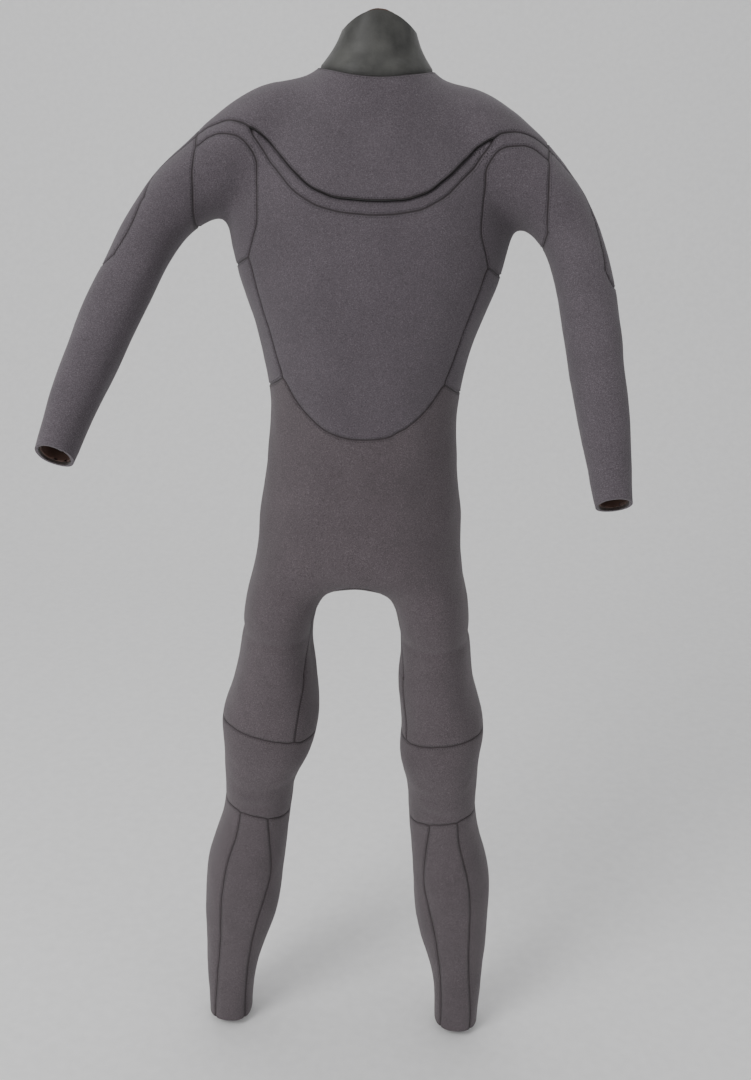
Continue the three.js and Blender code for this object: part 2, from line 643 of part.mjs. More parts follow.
function slider() {
  const plates = [-1, 1].map((s) => block(SLIDER_X, s * PLATE_Y, 0, SLIDER.length, SLIDER.plate, SLIDER.height));
  const postX = SLIDER_X + SLIDER.length / 2 - SLIDER.postLength / 2;
  const post = block(postX, 0, 0, SLIDER.postLength, 2 * PLATE_Y, SLIDER.post);
  const lugDeep = PIN_STAND + PULL.pin + 0.3;
  const lugs = [-1, 1].map((s) =>
    block(SLIDER_X, PIN_Y - PULL.pin + lugDeep / 2, s * LUG_Z, 3, lugDeep, LUG_THICKNESS),
  );
  const pin = new THREE.CylinderGeometry(PULL.pin / 2, PULL.pin / 2, 2 * LUG_Z, 12).rotateX(Math.PI / 2);
  return [...plates, post, ...lugs, solid(pin.translate(SLIDER_X, PIN_Y, 0))].reduce((a, b) => a.add(b));
}

// The pull hangs on the slider's pin by its eye and lies along the zip.
function pull() {
  const bore = PULL.pin / 2 + 0.3;
  const eye = new THREE.CylinderGeometry(bore + 0.7, bore + 0.7, EYE_WIDTH, 14).rotateX(Math.PI / 2);
  const hole = new THREE.CylinderGeometry(bore, bore, 2 * EYE_WIDTH, 14).rotateX(Math.PI / 2);
  const neck = block(bore + 2.1, 0, 0, 3.8, PULL.thickness, EYE_WIDTH);
  const outline = new THREE.Shape();
  const half = PULL.width / 2;
  outline.moveTo(3.6, -half * 0.5);
  outline.lineTo(PULL.length - half, -half);
  outline.absarc(PULL.length - half, 0, half, -Math.PI / 2, Math.PI / 2, false);
  outline.lineTo(3.6, half * 0.5);
  const tab = new THREE.ExtrudeGeometry(outline, { depth: PULL.thickness, bevelEnabled: false, curveSegments: 8 });
  tab.rotateX(Math.PI / 2).translate(0, PULL.thickness / 2, 0);
  const shape = solid(eye).add(neck).add(solid(tab)).subtract(solid(hole));
  return shape.translate([SLIDER_X, PIN_Y, 0]);
}

addZip("zip_teeth_upper", toothRow(1), plastic());
addZip("zip_teeth_lower", toothRow(-1), plastic());
addZip("zip_tape_upper", tape(1), tapeCloth());
addZip("zip_tape_lower", tape(-1), tapeCloth());
addZip("zip_slider", slider(), plastic());
addZip("zip_pull", pull(), plastic());
for (const [name, s] of [["right", -1], ["left", 1]]) {
  const x = s * (ZIP_LENGTH / 2 + 0.3 + STOP.length / 2);
  addZip(`zip_stop_${name}`, block(x, -TAPE_THICKNESS / 2 - 1.6, 0, STOP.length, 2, STOP.height), plastic());
}

// ---------- pieces inside the suit ----------
// A sheet bent to a round of its own, standing upright: middle at its front, edges back.
function bentSheet(width, height, thickness, radius) {
  const half = width / 2 / radius;
  const shape = new THREE.Shape();
  const start = -Math.PI / 2 - half;
  const end = -Math.PI / 2 + half;
  shape.absarc(0, radius, radius, start, end, false);
  shape.absarc(0, radius, radius - thickness, end, start, true);
  const geometry = new THREE.ExtrudeGeometry(shape, { depth: height, bevelEnabled: false, curveSegments: 12 });
  return solid(geometry.translate(0, 0, -height / 2));
}

const FLAP = { width: 170, height: 74, thickness: 2, radius: 130, behind: 11 };
const flap = bentSheet(FLAP.width, FLAP.height, FLAP.thickness, FLAP.radius);
addZip("entry_flap", flap.translate([0, FLAP.behind, -4]), sealSkin());

const POCKET = { width: 62, height: 70, thickness: 2, z: level(-470) };
const pocketY = torsoAt.y(POCKET.z) + torsoAt.d(POCKET.z) - NEOPRENE - 9;
add("key_pocket", block(0, pocketY, POCKET.z, POCKET.width, POCKET.thickness, POCKET.height), tapeCloth());

// A flat ribbon bent to a long loop, standing across the inside of the nape.
function loop(length, height, thickness, ribbon) {
  const ring = (l, h) => {
    const path = new THREE.Path();
    path.absarc(l / 2 - h / 2, 0, h / 2, -Math.PI / 2, Math.PI / 2, false);
    path.absarc(-l / 2 + h / 2, 0, h / 2, Math.PI / 2, Math.PI * 1.5, false);
    path.closePath();
    return path;
  };
  const shape = new THREE.Shape(ring(length, height).getPoints(6));
  shape.holes.push(ring(length - 2 * thickness, height - 2 * thickness));
  const geometry = new THREE.ExtrudeGeometry(shape, { depth: ribbon, bevelEnabled: false, curveSegments: 6 });
  return solid(geometry.rotateX(Math.PI / 2).translate(0, ribbon / 2, 0));
}

const napeY = torsoAt.y(torso.nape.z) + torso.nape.d - NEOPRENE;
add("hanging_loop", loop(64, 12, 1.4, 6).translate([0, napeY - 12, torso.nape.z]), tapeCloth());
add("key_loop", loop(30, 8, 1.2, 4).translate([0, pocketY - 6, POCKET.z + 18]), tapeCloth());

export default group;
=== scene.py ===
import json
import math

import bpy
import numpy as np
from mathutils import Matrix, Vector
from mathutils.bvhtree import BVHTree
from mathutils.kdtree import KDTree


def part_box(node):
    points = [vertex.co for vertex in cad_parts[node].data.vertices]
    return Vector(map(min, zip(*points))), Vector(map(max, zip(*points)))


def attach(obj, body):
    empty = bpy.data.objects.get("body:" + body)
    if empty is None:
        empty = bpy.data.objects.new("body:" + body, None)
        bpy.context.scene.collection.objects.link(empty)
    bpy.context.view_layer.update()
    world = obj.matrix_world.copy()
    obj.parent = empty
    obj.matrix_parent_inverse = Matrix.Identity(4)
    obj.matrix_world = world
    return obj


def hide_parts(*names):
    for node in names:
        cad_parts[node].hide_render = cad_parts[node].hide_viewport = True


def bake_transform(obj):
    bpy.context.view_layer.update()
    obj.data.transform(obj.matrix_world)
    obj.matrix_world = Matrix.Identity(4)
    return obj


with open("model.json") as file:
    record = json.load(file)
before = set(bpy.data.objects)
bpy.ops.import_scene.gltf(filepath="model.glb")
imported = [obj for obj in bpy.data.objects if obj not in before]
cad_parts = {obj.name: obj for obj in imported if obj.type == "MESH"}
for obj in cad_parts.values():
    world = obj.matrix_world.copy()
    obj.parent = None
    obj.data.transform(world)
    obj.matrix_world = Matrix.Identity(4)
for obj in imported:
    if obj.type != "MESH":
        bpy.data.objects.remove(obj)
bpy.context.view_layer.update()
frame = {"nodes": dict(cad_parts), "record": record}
NODES = frame["nodes"]

# ---------- sizes, in metres ----------
GRID = 0.0044  # cell of the grid the body's surface is drawn on
POWER = 2.3  # of the superellipses that the body's sections are
THICK = 0.0036  # of the cloth
HEM = -1.342  # height of the legs' lower edges
COLLAR_TOP = 0.080
COLLAR_LEAN = 0.003  # how far the collar stands to the wearer's left
RIM_HALF, RIM_DROP = 0.042, 0.021  # half the rim's width, and its fall from the middle to the sides
# The cuffs are looked for further out than this. The calves reach a little past it too, so each calf has a
# hole and each wrist seal has stray slivers around that hole: a known fault.
ARM_SIDE = 0.21
FAR = 0.05  # a distance from the seams at which nothing is shaded
SNAP = 4e-5  # points nearer than this to a dividing line are taken to be on it

# height, half width, half depth, middle in y
TORSO = [
    (0.110, 0.028, 0.037, -0.002),
    (0.080, 0.032, 0.038, -0.002),
    (0.063, 0.041, 0.042, -0.001),
    (0.043, 0.049, 0.048, 0.000),
    (0.019, 0.066, 0.060, 0.003),
    (-0.009, 0.098, 0.070, 0.005),
    (-0.055, 0.134, 0.084, 0.004),
    (-0.150, 0.170, 0.106, 0.002),
    (-0.205, 0.161, 0.112, 0.000),
    (-0.285, 0.134, 0.104, 0.000),
    (-0.365, 0.119, 0.092, 0.000),
    (-0.450, 0.122, 0.095, 0.004),
    (-0.545, 0.133, 0.106, 0.009),
    (-0.600, 0.128, 0.104, 0.009),
    (-0.680, 0.110, 0.095, 0.009),
]
# height, half width, half depth, middle in x and y
LEG = [
    (-0.500, 0.040, 0.070, 0.056, 0.009),
    (-0.577, 0.055, 0.096, 0.074, 0.009),
    (-0.637, 0.053, 0.098, 0.095, 0.008),
    (-0.700, 0.049, 0.084, 0.105, 0.004),
    (-0.760, 0.054, 0.077, 0.110, 0.001),
    (-0.828, 0.061, 0.073, 0.121, -0.002),
    (-0.868, 0.058, 0.069, 0.121, -0.005),
    (-0.915, 0.050, 0.061, 0.128, -0.003),
    (-0.965, 0.048, 0.058, 0.132, 0.003),
    (-1.085, 0.056, 0.063, 0.152, 0.012),
    (-1.150, 0.054, 0.058, 0.157, 0.013),
    (-1.260, 0.038, 0.043, 0.171, 0.009),
    (-1.342, 0.033, 0.037, 0.174, 0.006),
    (-1.380, 0.033, 0.037, 0.174, 0.006),
]
# how far the cloth gathers inwards above each knee, and its share at those heights
GATHER = {-1: 0.012, 1: -0.008}
GATHER_SHARE = {-0.760: 0.3, -0.828: 1.0, -0.868: 0.5}
# the arch between the legs: height, half width
ARCH = [
    (-0.612, 0.0), (-0.6155, 0.020), (-0.622, 0.031), (-0.637, 0.042), (-0.655, 0.051),
    (-0.690, 0.057), (-0.715, 0.057), (-0.760, 0.042), (-0.80, 0.030),
]
ARCH_ROOF = 6  # the first rows, down to where the arch is widest
# half sizes of the arms at the points of their lines, in the hanging plane and across it
ARM_SIZES = [
    (0.032, 0.044), (0.047, 0.056), (0.052, 0.060), (0.040, 0.050),
    (0.034, 0.041), (0.033, 0.036), (0.029, 0.033), (0.021, 0.026),
]
# which side it is on, then the upper arm, elbow, forearm and wrist
ARM_POSE = {
    "right": (-1, (-0.258, -0.052, -0.176), (-0.289, -0.112, -0.252),
              (-0.314, -0.175, -0.325), (-0.331, -0.235, -0.391)),
    "left": (1, (0.240, -0.052, -0.168), (0.259, -0.108, -0.245),
             (0.272, -0.170, -0.334), (0.284, -0.232, -0.421)),
}
ARM_STRETCHES, ARM_STEPS = 8, 160  # stretches of an arm's line, and the steps all of it is drawn in
ELBOW, CUFF = 5 * ARM_STEPS // ARM_STRETCHES, 7 * ARM_STEPS // ARM_STRETCHES
SIDES = (("right", -1), ("left", 1))


# ---------- small tools ----------
def smooth_profile(table):
    """A smooth function through rows of (at, values...), in falling or rising order of at."""
    t = np.array(sorted(table), float)
    x, v = t[:, 0], t[:, 1:]
    slope = np.gradient(v, x, axis=0)

    def value(at):
        at = np.clip(at, x[0], x[-1])
        i = np.clip(np.searchsorted(x, at) - 1, 0, len(x) - 2)
        h = x[i + 1] - x[i]
        s = (at - x[i]) / h
        s, h = s[..., None], h[..., None]
        return (
            (2 * s**3 - 3 * s**2 + 1) * v[i]
            + (s**3 - 2 * s**2 + s) * h * slope[i]
            + (3 * s**2 - 2 * s**3) * v[i + 1]
            + (s**3 - s**2) * h * slope[i + 1]
        )

    return value


def catmull(points, count):
    """count + 1 points, evenly spread in parameter, along a Catmull-Rom curve through points."""
    p = np.array(points, float)
    p = np.vstack([2 * p[0] - p[1], p, 2 * p[-1] - p[-2]])
    out = []
    for u in np.linspace(0, len(points) - 1, count + 1):
        i = min(int(u), len(points) - 2)
        s = u - i
        a, b, c, d = p[i : i + 4]
        square, cube = (2 * a - 5 * b + 4 * c - d) * s**2, (3 * b - a - 3 * c + d) * s**3
        out.append(0.5 * (2 * b + (c - a) * s + square + cube))
    return np.array(out)


def blur(values, edges, n, rounds, free=None):
    """Moves each vertex's values half way to its neighbours' mean, or less where free is under 1."""
    a, b = edges[:, 0], edges[:, 1]
    count = np.bincount(a, minlength=n) + np.bincount(b, minlength=n)
    values = values.copy()
    for _ in range(rounds):
        total = np.zeros_like(values)
        for c in range(values.shape[1]):
            total[:, c] = np.bincount(a, values[b, c], n) + np.bincount(b, values[a, c], n)
        step = 0.5 * (total / np.maximum(count, 1)[:, None] - values)
        values += step if free is None else step * free[:, None]
    return values


def sides_of(faces):
    """The three sides of every triangle, so most edges come twice."""
    return np.vstack([faces[:, [0, 1]], faces[:, [1, 2]], faces[:, [2, 0]]])


def edges_of(faces):
    return np.unique(np.sort(sides_of(faces), axis=1), axis=0)


def face_normals(points, faces):
    return np.cross(points[faces[:, 1]] - points[faces[:, 0]], points[faces[:, 2]] - points[faces[:, 0]])


def vertex_normals(points, faces):
    fn = face_normals(points, faces)
    out = np.zeros_like(points)
    for c in range(3):
        for k in range(3):
            out[:, k] += np.bincount(faces[:, c], fn[:, k], len(points))
    return out / np.maximum(np.linalg.norm(out, axis=1), 1e-12)[:, None]


def turned(faces, first):
    """The same triangles, each beginning at its corner first."""
    return np.stack([faces[np.arange(len(faces)), (first + k) % 3] for k in range(3)], 1)


def split(points, data, faces, f, snap=1e-5):
    """Cuts every triangle that f = 0 crosses, so each ends up on one side. Gives points, data, faces, f."""
    f = np.where(np.abs(f) < snap, 0.0, f)
    s = np.sign(f[faces]).astype(int)
    crossing = [(s[:, i] * s[:, (i + 1) % 3]) < 0 for i in range(3)]
    number = sum(c.astype(int) for c in crossing)
    keep = faces[number == 0]
    one, two = number == 1, number == 2
    # turn each cut triangle so that its odd corner comes first
    t1 = faces[one]
    turn = np.argmax(s[one] == 0, axis=1)
    t1 = turned(t1, turn)
    t2 = faces[two]
    s2 = s[two]
    turn = np.argmax(s2 == -np.sign(s2.sum(1))[:, None], axis=1)
    t2 = turned(t2, turn)
    pairs = np.vstack([t1[:, [1, 2]], t2[:, [0, 1]], t2[:, [0, 2]]])
    if not len(pairs):
        return points, data, faces, f
    unique, where = np.unique(np.sort(pairs, axis=1), axis=0, return_inverse=True)
    where = where.reshape(-1)
    a, b = unique[:, 0], unique[:, 1]
    t = (f[a] / (f[a] - f[b]))[:, None]
    base = len(points)
    points = np.vstack([points, points[a] * (1 - t) + points[b] * t])
    data = np.vstack([data, data[a] * (1 - t) + data[b] * t])
    f = np.concatenate([f, np.zeros(len(a))])
    c, p, q = (base + part for part in np.split(where, [len(t1), len(t1) + len(t2)]))
    (a1, b1, c1), (a2, b2, c2) = t1.T, t2.T
    new = [(a1, b1, c), (a1, c, c1), (a2, p, q), (p, b2, c2), (p, c2, q)]
    return points, data, np.vstack([keep] + [np.stack(corners, 1) for corners in new]), f


def below(points, data, faces, f, snap=1e-5):
    """The part of the surface where f is negative."""
    points, data, faces, f = split(points, data, faces, f, snap)
    faces = faces[f[faces].sum(1) < 0]
    used, faces = np.unique(faces, return_inverse=True)
    return points[used], data[used], faces.reshape(-1, 3)


# ---------- the body's surface ----------
def section(x, y, w, d):
    """Signed distance, near enough, from a superellipse."""
    r = (np.abs(x / w) ** POWER + np.abs(y / d) ** POWER) ** (1 / POWER)
    return np.hypot(x, y) * (1 - 1 / np.maximum(r, 1e-3))


def join(a, b, k):
    """The smaller of two distances, rounded where they meet."""
    h = np.maximum(k - np.abs(a - b), 0) / k
    return np.minimum(a, b) - h * h * k / 4


def arm_curve(name):
    """An arm's middle line, its three directions and its half sizes at each point."""
    side, upper, elbow, forearm, wrist = ARM_POSE[name]
    cap = np.array([side * 0.166, -0.002, -0.090])
    top = cap * 0.48 + np.array(upper) * 0.52 + np.array([side * 0.008, 0.003, 0.006])
    root, shoulder = (side * 0.048, 0.004, -0.025), (side * 0.108, 0.003, -0.044)
    wrist = np.array(wrist)
    past = wrist + 0.35 * (wrist - np.array(forearm))
    line = catmull([root, shoulder, cap, top, upper, elbow, forearm, wrist, past], ARM_STEPS)
    at = np.linspace(0, ARM_STRETCHES, ARM_STEPS + 1)
    sizes = smooth_profile([(i, *s) for i, s in enumerate([*ARM_SIZES, (0.020, 0.025)])])(at)
    tangent = np.gradient(line, axis=0)
    tangent /= np.linalg.norm(tangent, axis=1)[:, None]
    through = np.array([0, 1.0, 0]) - tangent * tangent[:, 1:2]
    through /= np.linalg.norm(through, axis=1)[:, None]
    return line, tangent, through, np.cross(tangent, through), sizes


ARMS = {name: arm_curve(name) for name, _ in SIDES}


def arm_field(name, points):
    """Signed distance, near enough, from an arm that is cut off square at both ends."""
    line, tangent, through, across, sizes = ARMS[name]
    best = np.full(len(points), 1e9)
    near = np.zeros(len(points), int)
    for i in range(0, len(line), 2):
        away = ((points - line[i]) ** 2).sum(1)
        closer = away < best
        best[closer], near[closer] = away[closer], i
    along = ((points - line[near]) * tangent[near]).sum(1)
    step = np.linalg.norm(np.gradient(line, axis=0), axis=1)
    local = np.clip(near + along / step[near], 0, len(line) - 1)
    i = np.minimum(local.astype(int), len(line) - 2)
    t = (local - i)[:, None]

    def mix(v):
        return v[i] * (1 - t) + v[i + 1] * t

    d = points - mix(line)
    w, deep = mix(sizes).T
    radial = section((d * mix(across)).sum(1), (d * mix(through)).sum(1), w, deep)
    beyond = np.abs((d * mix(tangent)).sum(1)) - 0.004
    return np.maximum(radial, beyond)


def body_surface():
    """The torso, legs and arms joined, with an arch cut between the legs."""
    lo = np.array([-0.375, -0.285, -1.372])
    hi = np.array([0.330, 0.150, 0.100])
    arch = np.array(ARCH)
    xs, ys, zs = (np.arange(a, b, GRID) for a, b in zip(lo, hi))
    field = np.full((len(xs), len(ys), len(zs)), 0.2, np.float64)
    x, y = xs[:, None, None], ys[None, :, None]
    torso = smooth_profile(TORSO)
    high = zs > -0.68
    w, d, m = torso(zs[high]).T
    lean = COLLAR_LEAN * np.clip((zs[high] - 0.015) / 0.05, 0, 1)
    part = section(x - lean, y - m, w, d)
    floor = -0.618 - zs[high] + 0.020 * (y / 0.11) ** 2
    part = -join(-part, -floor, 0.035)
    field[:, :, high] = np.minimum(field[:, :, high], part)
    low = zs < -0.49
    for _, side in SIDES:
        more = [GATHER[side] / 2 * GATHER_SHARE.get(row[0], 0) for row in LEG]
        leg = smooth_profile([(z, w + m, d, mx - m, my) for (z, w, d, mx, my), m in zip(LEG, more)])
        w, d, mx, my = leg(zs[low]).T
        part = section(x - side * mx, y - my, w, d)
        part = np.maximum(part, zs[low] + 0.50)
        field[:, :, low] = join(field[:, :, low], part, 0.022)
    gap = (zs < -0.60) & (zs > -0.79)
    beside = np.abs(x) - np.interp(-zs[gap], -arch[:, 0], arch[:, 1])
    under = zs[gap] - np.interp(np.abs(x), arch[:ARCH_ROOF, 1], arch[:ARCH_ROOF, 0])
    under = np.where(zs[gap] < -0.69, -0.2, under)
    deep = np.abs(beside * under) / np.maximum(np.hypot(beside, under), 1e-6)
    inside = (beside < 0) & (under < 0)
    cut = np.where(inside, -deep, deep) * np.ones_like(y)
    field[:, :, gap] = -join(-field[:, :, gap], cut, 0.018)
    for name, side in SIDES:
        inx = np.where(xs * side > 0.03)[0]
        inz = np.where((zs > -0.47) & (zs < 0.06))[0]
        iny = np.where(ys < 0.08)[0]
        gx, gy, gz = np.meshgrid(xs[inx], ys[iny], zs[inz], indexing="ij")
        flat = np.stack([gx.ravel(), gy.ravel(), gz.ravel()], 1)
        arm = arm_field(name, flat).reshape(gx.shape)
        block = np.ix_(inx, iny, inz)
        field[block] = join(field[block], arm, 0.016)
    return surface_net(field, np.array([xs[0], ys[0], zs[0]]))


def surface_net(f, origin):
    """Triangles around where f is negative, with one point in each crossed cell."""
    s = f < 0
    n = np.array(f.shape) - 1
    corners = [(i, j, k) for i in (0, 1) for j in (0, 1) for k in (0, 1)]
    count = sum(s[i : i + n[0], j : j + n[1], k : k + n[2]].astype(np.int8) for i, j, k in corners)
    cells = np.argwhere((count > 0) & (count < 8))
    ids = np.full(n, -1, np.int64)
    ids[tuple(cells.T)] = np.arange(len(cells))
    total, hits = np.zeros((len(cells), 3)), np.zeros(len(cells))
    for c in corners:
        for axis in range(3):
            if c[axis]:
                continue
            d = list(c)
            d[axis] = 1
            fa, fb = f[tuple((cells + c).T)], f[tuple((cells + d).T)]
            cross = (fa < 0) != (fb < 0)
            p = np.tile(np.array(c, float), (len(cells), 1))
            p[:, axis] += np.where(cross, fa / np.where(cross, fa - fb, 1), 0)
            total += p * cross[:, None]
            hits += cross
    points = origin + GRID * (cells + total / hits[:, None])
    quads = []
    for axis in range(3):
        a, b = [(1, 2), (2, 0), (0, 1)][axis]
        lower = np.take(s, range(f.shape[axis] - 1), axis)
        upper = np.take(s, range(1, f.shape[axis]), axis)
        g = np.argwhere(lower != upper)
        g = g[(g[:, a] > 0) & (g[:, b] > 0) & (g[:, a] < n[a]) & (g[:, b] < n[b])]
        ea, eb = np.eye(3, dtype=int)[a], np.eye(3, dtype=int)[b]
        q = np.stack([ids[tuple(v.T)] for v in (g - ea - eb, g - eb, g, g - ea)], 1)
        flip = ~s[tuple(g.T)]
        q[flip] = q[flip][:, ::-1]
        quads.append(q)
    q = np.vstack(quads)
    return points, np.vstack([q[:, [0, 1, 2]], q[:, [0, 2, 3]]])


skin, skin_faces = body_surface()
skin_edges = edges_of(skin_faces)
skin = blur(skin, skin_edges, len(skin), 6)
# the crotch, the armpits and the foot of the collar are rounded a little more
x, y, z = skin.T
crotch = np.clip(1 - np.abs(z + 0.615) / 0.07, 0, 1) * np.clip(1.5 - np.abs(x) / 0.10, 0, 1)
pits = np.clip(1 - np.hypot(np.abs(x) - 0.20, z + 0.19) / 0.075, 0, 1)
neck = np.clip(1 - np.hypot(np.abs(x) - 0.075, z - 0.005) / 0.045, 0, 1)
free = np.clip(crotch + pits + neck, 0, 1)
skin = blur(skin, skin_edges, len(skin), 25, free=free)


# ---------- folds ----------
def ridge(points, a, b, wide, high):
    """How far a soft ridge along the line from a to b lifts each point."""
    a, b = np.array(a, float), np.array(b, float)
    d = b - a
    t = np.clip(((points - a) @ d) / (d @ d), 0, 1)
    away = np.linalg.norm(points - (a + t[:, None] * d), axis=1)
    ends = np.sin(np.pi * np.clip(t, 0.02, 0.98)) ** 0.7
    return high * ends * np.exp(-((away / wide) ** 2))


def waves(points, rng, size, count):
    """A gentle unevenness made of a few long waves."""
    total = np.zeros(len(points))
    for _ in range(count):
        k = rng.normal(size=3)
        k *= 2 * np.pi / (size * rng.uniform(0.7, 1.4)) / np.linalg.norm(k)
        total += np.sin(points @ k + rng.uniform(0, 6.28))
    return total / math.sqrt(count)


def folds(p, n):
    """How far the folds and the cloth's unevenness lift each point."""
    rng = np.random.default_rng(7)
    lift = 0.0006 * waves(p, rng, 0.11, 14) + 0.00035 * waves(p, rng, 0.045, 16)
    front = np.clip(-n[:, 1] * 1.5, 0, 1)
    back = np.clip(n[:, 1] * 1.5, 0, 1)
    for _, s in SIDES:
        # creases across the knee, and the cloth gathered above it
        for z, high, tilt in ((-0.880, -0.0016, 0.004), (-0.897, 0.0013, 0.003), (-0.913, -0.0015, 0.001),
                              (-0.930, 0.0011, -0.001), (-0.946, -0.0012, -0.002)):
            a, b = (s * 0.082, -0.06, z - tilt), (s * 0.172, -0.055, z + tilt)
            lift += ridge(p, a, b, 0.0058, high) * front
        for z, high in ((-0.868, -0.0022), (-0.890, 0.0018), (-0.908, -0.0024), (-0.928, 0.0015)):
            lift += ridge(p, (s * 0.085, 0.06, z), (s * 0.168, 0.06, z + 0.004), 0.009, high) * back
        lift += ridge(p, (s * 0.060, -0.05, -0.838), (s * 0.185, -0.045, -0.806), 0.012, 0.0022)
        lift += ridge(p, (s * 0.075, -0.07, -0.812), (s * 0.150, -0.07, -0.795), 0.009, -0.0010)
        # soft folds at the groin, the waist and behind the armpits
        lift += ridge(p, (s * 0.045, -0.085, -0.628), (s * 0.125, -0.09, -0.585), 0.012, -0.0020) * front
        lift += ridge(p, (s * 0.05, 0.10, -0.632), (s * 0.130, 0.09, -0.610), 0.014, -0.0030) * back
        lift += ridge(p, (s * 0.150, -0.06, -0.215), (s * 0.185, -0.06, -0.150), 0.010, -0.0015) * front
        lift += ridge(p, (s * 0.160, -0.05, -0.240), (s * 0.205, -0.03, -0.195), 0.008, 0.0013)
        lift += ridge(p, (s * 0.120, 0.08, -0.250), (s * 0.185, 0.07, -0.165), 0.012, -0.0020) * back
        lift += ridge(p, (s * 0.075, 0.09, -0.395), (s * 0.115, 0.05, -0.380), 0.010, -0.0014) * back
    for name, _ in SIDES:
        line, tangent, _, across, sizes = ARMS[name]
        for at, high in ((93, -0.0013), (99, 0.0010), (105, -0.0015), (111, 0.0008)):
            side = across[at] * sizes[at][0]
            lift += ridge(p, line[at] - side, line[at] - side * 0.2 + tangent[at] * 0.006, 0.0065, high)
            lift += ridge(p, line[at] + side, line[at] + side * 0.2 - tangent[at] * 0.004, 0.0060, high * 0.8)
    # the collar's soft folds
    lift += ridge(p, (-0.052, -0.045, 0.036), (0.050, -0.045, 0.032), 0.0055, -0.0016) * front
    lift += ridge(p, (-0.030, -0.055, 0.047), (0.046, -0.050, 0.042), 0.0050, 0.0012) * front
    lift += ridge(p, (-0.060, -0.050, 0.022), (0.060, -0.050, 0.022), 0.0050, 0.0016) * front
    return lift


normals = vertex_normals(skin, skin_faces)
skin = skin + normals * folds(skin, normals)[:, None]


# ---------- trimming at the collar, cuffs and hems ----------
def rim_height(points, lift=0.0):
    """Positive above the collar's rim."""
    across = np.clip((points[:, 0] - COLLAR_LEAN) / RIM_HALF, -1, 1)
    return points[:, 2] - (COLLAR_TOP + lift - RIM_DROP * across**2)


def cuff_distance(points, name, back=0.0):
    """Positive beyond the wrist's edge of that arm."""
    line, tangent = ARMS[name][:2]
    d = (points - line[CUFF]) @ tangent[CUFF] + back
    side = 1 if name == "left" else -1
    return np.where(side * points[:, 0] > ARM_SIDE, d, -0.1)


none = np.zeros((len(skin), 1))
outer, data, faces = below(skin, none, skin_faces, rim_height(skin))
outer, data, faces = below(outer, data, faces, HEM - outer[:, 2])
for name, _ in SIDES:
    outer, data, faces = below(outer, data, faces, cuff_distance(outer, name))

# ---------- dividing it into the frame's panels ----------
PANELS = [
    n for n in NODES
    if not n.startswith(("zip_", "entry", "key_", "hanging")) and "_seal_" not in n and n != "neck_seal"
]
REACH = 0.03  # distances from a panel are measured up to this
AROUND = 0.014  # and only for points this near to the panel's box


def distances(points):
    """Each point's distance from each of the frame's panels."""
    out = np.full((len(points), len(PANELS)), REACH)
    for k, name in enumerate(PANELS):
        mesh = NODES[name].data
        v = np.empty(len(mesh.vertices) * 3)
        mesh.vertices.foreach_get("co", v)
        v = v.reshape(-1, 3)
        tree = BVHTree.FromPolygons([Vector(c) for c in v], [tuple(p.vertices) for p in mesh.polygons])
        near = np.all((points > v.min(0) - AROUND) & (points < v.max(0) + AROUND), axis=1)
        for i in np.where(near)[0]:
            hit = tree.find_nearest(Vector(points[i]), REACH)
            if hit[3] is not None:
                out[i, k] = hit[3]
    return out


away = distances(outer)
away = blur(away, edges_of(faces), len(outer), 9)


def margin(data, k):
    """Negative where panel k is the nearest."""
    others = np.delete(data, k, axis=1)
    return data[:, k] - others.min(1)


points, data = outer, away
for k in range(len(PANELS)):
    points, data, faces, _ = split(points, data, faces, margin(data, k), SNAP)
label = np.argmin(data[faces].mean(1), axis=1)

# The joins between these panels only divide the model so that it can bend: the cloth runs on over them.
FLUSH = set()
for side, _ in SIDES:
    thighs = [f"thigh_{part}_{side}" for part in ("inner", "front", "back")]
    for n in ("lower_front_panel", "seat_panel", "crotch_gusset", *thighs):
        FLUSH.add(frozenset((f"hip_flex_{side}", n)))
    sleeves = [f"{part}_{side}" for part in ("shoulder_flex", "upper_sleeve", "elbow_flex", "forearm_sleeve")]
    FLUSH.update(frozenset(pair) for pair in zip(sleeves, sleeves[1:]))
YOKE = PANELS.index("shoulder_yoke")
BAND = PANELS.index("chest_band")


def edge_table(faces, label):
    """Each edge's two ends and the labels of its two faces, -1 where there is one face."""
    e = sides_of(faces)
    key, where = np.unique(np.sort(e, axis=1), axis=0, return_inverse=True)
    where = where.reshape(-1)
    labels = np.full((len(key), 2), -1)
    lab = np.tile(label, 3)
    order = np.argsort(where, kind="stable")
    w = where[order]
    first = np.r_[True, w[1:] != w[:-1]]
    labels[w[first], 0] = lab[order][first]
    labels[w[~first], 1] = lab[order][~first]
    return key, labels


# height, distance from the middle
GUSSET_LINE = [
    (-0.560, 0.020), (-0.630, 0.048), (-0.668, 0.058), (-0.712, 0.064), (-0.760, 0.068), (-0.85, 0.078),
]


def gusset_line(z):
    t = np.array(GUSSET_LINE)
    return np.interp(-z, -t[:, 0], t[:, 1])


def seam_edges(faces, label):
    """Every edge with its labels, and which edges are real seams."""
    key, labels = edge_table(faces, label)
    flush = np.zeros((len(PANELS), len(PANELS)), bool)
    for pair in FLUSH:
        a, b = (PANELS.index(n) for n in pair)
        flush[a, b] = flush[b, a] = True
    inside = (labels[:, 1] >= 0) & (labels[:, 0] != labels[:, 1])
    real = inside & ~flush[labels[:, 0], labels[:, 1]]
    return key, labels, real


